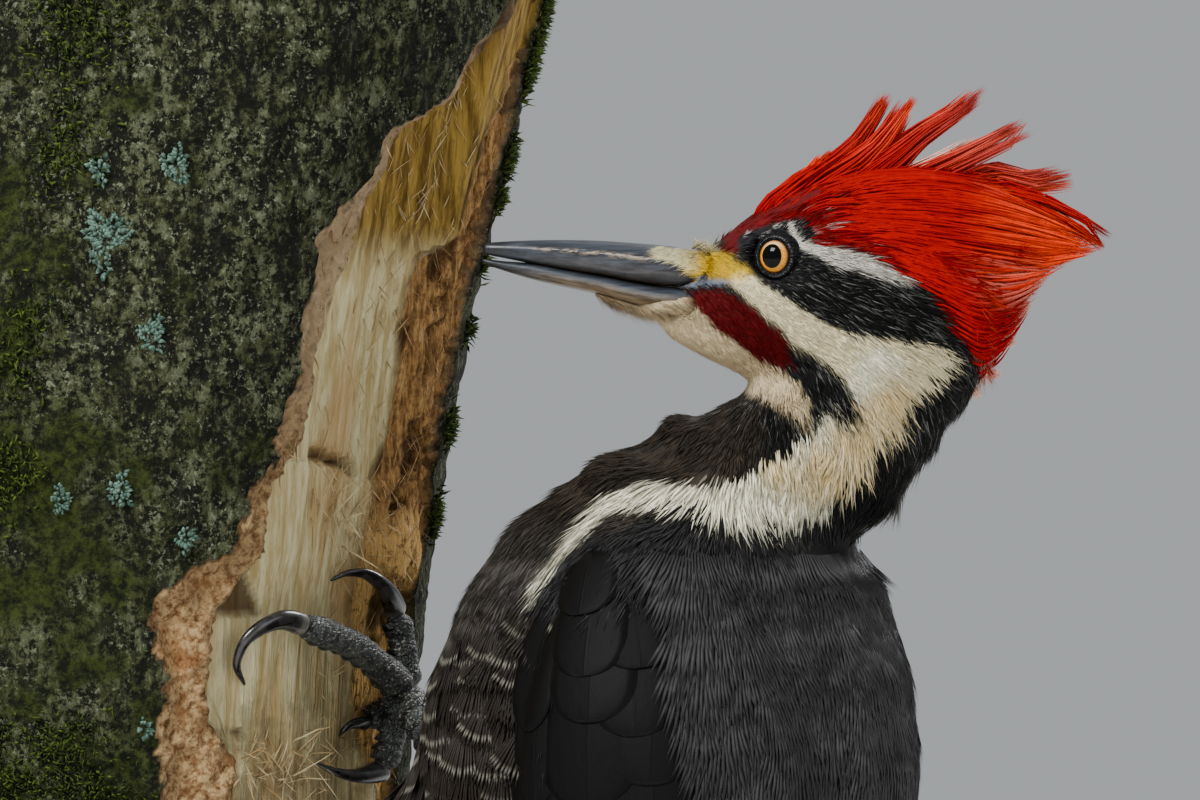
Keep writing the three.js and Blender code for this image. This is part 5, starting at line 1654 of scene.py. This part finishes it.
def chin_feathers(finish):
    """Short feathers that close over the lower half of the bill's root, and hang from its underside: brown
    in front, then tan, deep red above."""
    draw = np.random.default_rng(125)
    n = 3600
    side = 1.0 - 2 * (np.arange(n) % 2)
    x = 117 + 27 * draw.random(n) ** 0.75
    share = lerp(-1, lerp(-0.9, 0.75, ease(x, 126, 141)), draw.random(n) ** 0.9)
    root = on_bill(BILL_LOWER, x, side, share, 0.95)
    normal = unit(xyz(0, -side * np.sqrt(1 - share**2 * 0.98), share))
    flow = laid(unit(xyz(0.92, 0, -0.42 + draw.normal(0, 0.12, n))), normal)
    hang = unit(xyz(0.88, -side * draw.uniform(0, 0.25, n), -0.44 + draw.normal(0, 0.10, n)))
    flow = unit(lerp(flow, hang, ease(-share, 0.3, 0.6)[:, None]))
    wisp = (draw.random(n) < 0.4) & (share < -0.75)
    flow = np.where(wisp[:, None], unit(hang * [0.75, 1, 2.0]), flow)
    normal = laid(np.where(wisp[:, None], [1.0, 0, 0], normal), flow)
    red = ease(x, 136, 139) * ease(root[:, 2], 400.5, 402.5)
    tan = lerp(np.array([0.30, 0.21, 0.12]), CHIN_TAN, ease(x + draw.normal(0, 2, n), 119, 130)[:, None])
    colour = painted(tan, MALAR_RED, red) * draw.uniform(0.75, 1.1, (n, 1))
    root[:, 2] -= 0.4 * wisp * ease(x, 116, 123)
    length = draw.uniform(2.2, 5.0, n) * lerp(1, 1.25, wisp)
    roots = root, normal, flow, np.full(n, 0.01)
    grow("chin_feathers", finish, "white_plumage", roots, np.zeros(n), length,
         draw.uniform(0.2, 0.34, n), draw.uniform(0.03, 0.22, n), draw.normal(0, 0.1, n),
         colour * 0.75, colour * 1.1, 0.1)


# ---- feet ----

def foot_place(name, points):
    """A foot's points as places: on the trunk for the left, mirrored in turn and lower for the right."""
    x, z, height = np.asarray(points, float).T
    turn = turn_at(x, z, height)
    if name == "left":
        return on_log(turn, z, height)
    return on_log(RIGHT_SHIFT["turn"] - turn, z + RIGHT_SHIFT["z"], height)


def feet(scales, horn):
    """Scaled shanks and toes in one piece for each foot, and the claws: deep, hooked and narrow.

    A limb's radius has overlapping rings on its upper side, that rise and drop along it, and grains below."""
    for name in ("left", "right"):
        knuckle = foot_place(name, [JOINT])[0]
        limbs, masks, claws, roots = [], [], [], []

        def limb(points, radii, columns, count, depth):
            outward = unit(knuckle - [between(LOG_LINE, knuckle[2])[0], LOG["line_y"], knuckle[2]])
            tangent = unit(points[-1] - points[0])
            t, turn = np.linspace(0, 1, 110)[:, None], around(columns)
            saw = (t * count) % 1.0
            upper = ease(np.cos(turn - np.pi / 2), -0.1, 0.5)
            plates = depth * (saw - 0.5) * (1 - ease(saw, 0.86, 1.0)) * upper
            under = 0.035 * np.sin(t * count * 9) * np.sin(turn * 7) * (1 - upper)
            shape = 1 + plates + under + 0.10 * np.sin(t * np.pi * 3.0) ** 2
            reference = np.cross(tangent, laid(outward, tangent))
            rings = rings_along(points, radii, 110, columns, reference, shape=shape)
            limbs.append(closed_skin(rings))
            masks.append(zones(ease(saw, 0.84, 0.97) + ease(0.10 - saw, 0, 0.10),
                               ease(noise(rings, 3.0, 131), 0.2, 0.7)))

        limb(np.array([knuckle, ANKLES[name]]), [4.2, 3.7, 3.8, 4.4], 40, 11, 0.42)
        for toe_name, (toe, claw) in TOES.items():
            slim, count = (0.82, 6) if toe_name == "hallux" else (1.0, 9)
            toe_line = np.concatenate([[knuckle], foot_place(name, toe)])
            limb(toe_line, np.array([4.1, 3.7, 3.3, 3.5, 3.0]) * slim, 36, count, 0.44)
            line = np.concatenate([toe_line[-1:], foot_place(name, claw)])
            line[0] -= 1.2 * unit(line[1] - line[0])
            bend = np.cross(line[1] - line[0], line[-1] - line[0])
            claws.append(closed_skin(rings_along(
                line, np.array([2.95, 2.7, 2.2, 1.65, 1.1, 0.35]) * slim, 70, 24, bend, flat=0.8)))
            roots.append(zones(ease(0.16 - np.linspace(0, 1, 70)[:, None] + np.zeros(24), 0, 0.05)))
        put(f"foot_{name}_scaled", flipped(joined(limbs)), scales,
            [f"shank_{name}", *(f"toe_{toe}_{name}" for toe in TOES)], masks=np.concatenate(masks))
        put(f"claws_{name}", flipped(joined(claws)), horn,
            [f"claw_{toe}_{name}" for toe in TOES], masks=np.concatenate(roots))


# ---- moss, lichen and splinters on the trunk ----

def on_trunk(turn, z, lift):
    """A point on the trunk as dressed, the outward way there, and how far it is wood and inner bark."""
    depth, wood, inner, _, _ = pit_zones(turn, z)
    point = at_radius(log_radius(turn, z) - depth + lift, turn, z)
    return point, xyz(np.sin(turn * DEG), -np.cos(turn * DEG), 0), wood, inner


def strew(name, finish, *how):
    """A piece of loose blades on the trunk."""
    body, colours, _ = blades(*how)
    put(name, body, finish, colours=colours)


def trunk_growth():
    """Moss tufts along the pit's right edge and low on the bark, and rosettes of pale lichen lobes."""
    draw = np.random.default_rng(141)
    finish = speckled_finish("moss_and_lichen", 0.9, 0.2, (1200, 3.0), 0.7)
    # Moss: [turn, z, spread of turn, spread of z, tufts].
    clumps = [
        [88, 472, 3, 7, 700], [87, 459, 2.5, 3, 260], [87, 438, 2, 2.6, 260], [87, 428, 2, 2, 170],
        [87, 372, 2, 2.2, 260], [87, 350, 2, 2.4, 260], [88, 396, 1.5, 1.5, 70], [88, 412, 1.5, 1.5, 60],
        [2, 296, 5, 4, 700], [-3, 288, 6, 3, 500], [10, 284, 4, 3, 240], [-12, 468, 5, 7, 420],
        [-10, 440, 3, 8, 300], [-9, 395, 3, 9, 300], [-8, 360, 3, 6, 240], [150, 300, 8, 20, 600],
        [230, 380, 8, 24, 600], [300, 200, 9, 24, 600], [100, 150, 6, 14, 300]]
    turn, z = np.concatenate([draw.normal(0, 1, (n, 2)) * [dt, dh] + [t, h] for t, h, dt, dh, n in clumps]).T
    root, outward, wood, inner = on_trunk(turn, np.clip(z, LOG["bottom"] + 2, LOG["top"] - 2), 0.2)
    root, outward = root[wood + inner < 0.4], outward[wood + inner < 0.4]
    n = len(root)
    along = unit(outward + draw.normal(0, 0.6, (n, 3)) + [0, 0, 0.25])
    normal = unit(np.cross(along, draw.normal(0, 1, (n, 3))))
    green = lerp(np.array([0.016, 0.028, 0.004]), np.array([0.10, 0.155, 0.018]), draw.random((n, 1)) ** 1.5)
    strew("moss_tufts", finish, root, normal, along, draw.uniform(1.2, 3.4, n), draw.uniform(0.5, 1.0, n),
          draw.uniform(-0.2, 0.4, n), draw.normal(0, 0.3, n), np.zeros(n), green * 0.4, green, (0, 0.45), 0.5)
    # Lichen: [x, z, reach, lobes].
    spots = [[0.5, 416.9, 5.0, 300], [11.2, 394.2, 2.6, 90], [17.1, 434.7, 2.8, 100], [4, 357.3, 2.4, 70],
             [-0.7, 433.5, 2.0, 50], [-10.2, 355, 2.2, 50], [18.3, 345.4, 1.8, 40], [9, 300, 1.4, 24]]
    x, z, reach = np.repeat([s[:3] for s in spots], [s[3] for s in spots], 0).T
    n = len(x)
    angle = draw.uniform(0, 2 * np.pi, n)
    far = reach * np.sqrt(draw.random(n)) * (1 + 0.35 * np.sin(angle * 3 + x) + 0.2 * np.sin(angle * 7))
    x, z = x + far * np.cos(angle) * 0.8, z + far * np.sin(angle) * 1.3
    root, outward, _, _ = on_trunk(round_turn(x, z), z, 0.9)
    spoke = unit(xyz(np.cos(angle), 0, np.sin(angle)) + draw.normal(0, 0.5, (n, 3)))
    along = unit(spoke - dot(spoke, outward) * outward + 0.2 * outward)
    pale = lerp(np.array([0.045, 0.09, 0.065]), np.array([0.16, 0.26, 0.20]), draw.random((n, 1)))
    strew("lichen_lobes", finish, root, laid(outward, along), along, draw.uniform(0.8, 1.9, n),
          draw.uniform(0.7, 1.5, n), np.full(n, 0.2), draw.normal(0, 0.2, n), np.zeros(n), pale * 0.5, pale,
          (0, 0.5), 0.2)


def splinters():
    """Torn fibres in the pit: short slivers along its torn parts, tangles by the foot, and crumbs."""
    draw = np.random.default_rng(151)
    # Slivers: [x, z, spread of x, spread of z, count, length, stray].
    heaps = [[84, 420, 5, 22, 200, 4, 0.2], [77, 380, 4, 22, 150, 4, 0.2], [70, 348, 4, 6, 110, 5, 0.6],
             [62, 354, 4, 6, 60, 8, 0.35], [48, 290, 8, 4, 170, 7, 0.9], [64, 305, 5, 14, 70, 5, 0.5],
             [90, 452, 3, 10, 70, 4, 0.2], [45, 365, 6, 3, 30, 4, 0.4], [60, 400, 8, 30, 30, 6, 0.1]]
    x, z = np.concatenate([draw.normal(0, 1, (row[4], 2)) * row[2:4] + row[:2] for row in heaps]).T
    size, stray = np.repeat([row[5:] for row in heaps], [row[4] for row in heaps], 0).T
    n = len(x)
    z = np.clip(z, 246, 484)
    root, outward, wood, inner = on_trunk(round_turn(x, z, low=0, high=0.995), z, -0.2)
    sign = np.where(draw.random(n) < 0.5, 1.0, -1.0)
    wander = draw.normal(0, 1, (n, 3)) * [1, 0.4, 0.8] * stray[:, None]
    along = unit(xyz(0, 0, sign) + wander + outward * draw.uniform(0, 0.5, (n, 1)))
    normal = unit(outward - dot(outward, along) * along + 1e-3 * UP)
    tint = draw.random((n, 1))
    pale = lerp(np.array([0.5, 0.32, 0.13]), np.array([0.82, 0.68, 0.40]), tint)
    rust = lerp(np.array([0.16, 0.055, 0.016]), np.array([0.62, 0.36, 0.15]), tint)
    colour = lerp(rust, pale, np.maximum(wood, stray * 0.9)[:, None])
    strew("wood_fibres", speckled_finish("wood_fibres", 0.75, 0.2, (1200, 3.0), 0.7), *(
        values[wood + inner > 0.5] for values in (
            root, normal, along, size * draw.gamma(4.0, 0.25, n), draw.uniform(0.2, 0.7, n),
            draw.uniform(0.0, 0.3, n), draw.normal(0, 0.15, n), np.zeros(n), colour * 0.7, colour)),
        (0, 0.35, 0.7), 0.35)


# ---- stage, light and camera ----

def stage():
    """A pale floor under the stand, soft lights and an even pale surround."""
    bpy.ops.mesh.primitive_plane_add(size=8)
    floor = bpy.context.object
    floor.name = "floor"
    pale = Finish("pale_floor", Roughness=0.8, Base_Color=(0.72, 0.72, 0.70, 1))
    floor.data.materials.append(pale.material)
    world = bpy.data.worlds.new("studio")
    world.use_nodes = True
    world.node_tree.nodes["Background"].inputs[0].default_value = (0.80, 0.84, 0.86, 1)
    world.node_tree.nodes["Background"].inputs[1].default_value = 0.5
    bpy.context.scene.world = world
    middle = (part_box("head")[0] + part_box("head")[1]) / 2
    for name, offset, size, power in (
            ("key_light", (-1.1, -1.4, 1.7), 1.0, 96), ("fill_light", (1.6, -1.3, 0.5), 1.5, 10),
            ("back_light", (0.9, 1.4, 1.3), 1.0, 40)):
        light = bpy.data.lights.new(name, "AREA")
        light.energy = power
        light.size = size
        lamp = linked(name, light)
        lamp.location = [middle[i] + offset[i] for i in range(3)]
        lamp.rotation_euler = (middle - lamp.location).to_track_quat("-Z", "Y").to_euler()


def camera():
    """A long lens, level, looking square at the head's profile from the bird's left."""
    lens = bpy.data.cameras.new("camera")
    lens.lens = 367.7
    lens.sensor_width = 36
    lens.clip_end = 50
    view = linked("camera", lens)
    view.location = (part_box("bill_upper")[0].x + 0.0277, -3.0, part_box("head")[1].z - 0.0448)
    view.rotation_euler = (np.pi / 2, 0, 0)
    bpy.context.scene.camera = view


# ---- assembly ----

def dress_bird():
    skin = make_skin()
    weights = region_weights(skin)
    pale = speckled_finish("pale_feathers", 0.7)
    red = speckled_finish("red_feathers", 0.55, 0.04)
    put("skin", (skin["points"], [skin["quads"]]), skin_finish(), FLESH,
        markings(skin["points"]))
    face_coat(skin, weights, pale)
    neck_coat(skin, weights, pale)
    body_coat(skin, weights, speckled_finish("black_feathers", 0.5))
    crest_coat(skin, weights, red)
    crest_sweep(skin, weights, red)
    crest_locks(red)
    wing, eye, lid = vane_finish("wing_vanes", 0.55, (70, 14), 1.8), eye_finish(), lid_finish()
    for side, name in SIDES:
        wing_feathers(side, name, wing)
    tail_feathers(vane_finish("tail_vanes", 0.5, (90, 12), 0.4))
    bill(bill_finish())
    for side, name in SIDES:
        eye_ball(side, name, eye)
        eyelid(side, name, lid)
    nasal_bristles(pale)
    chin_feathers(pale)
    feet(scale_finish(), claw_finish())


def dress_stand():
    board, steel = stand_wood_finish(), stand_metal_finish()
    for name, finish in (("stand_base", board), ("stand_rod_a", steel), ("stand_rod_b", steel)):
        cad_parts[name].data.materials.clear()
        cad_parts[name].data.materials.append(finish)


dress_bird()
trunk()
trunk_growth()
splinters()
dress_stand()
stage()
camera()
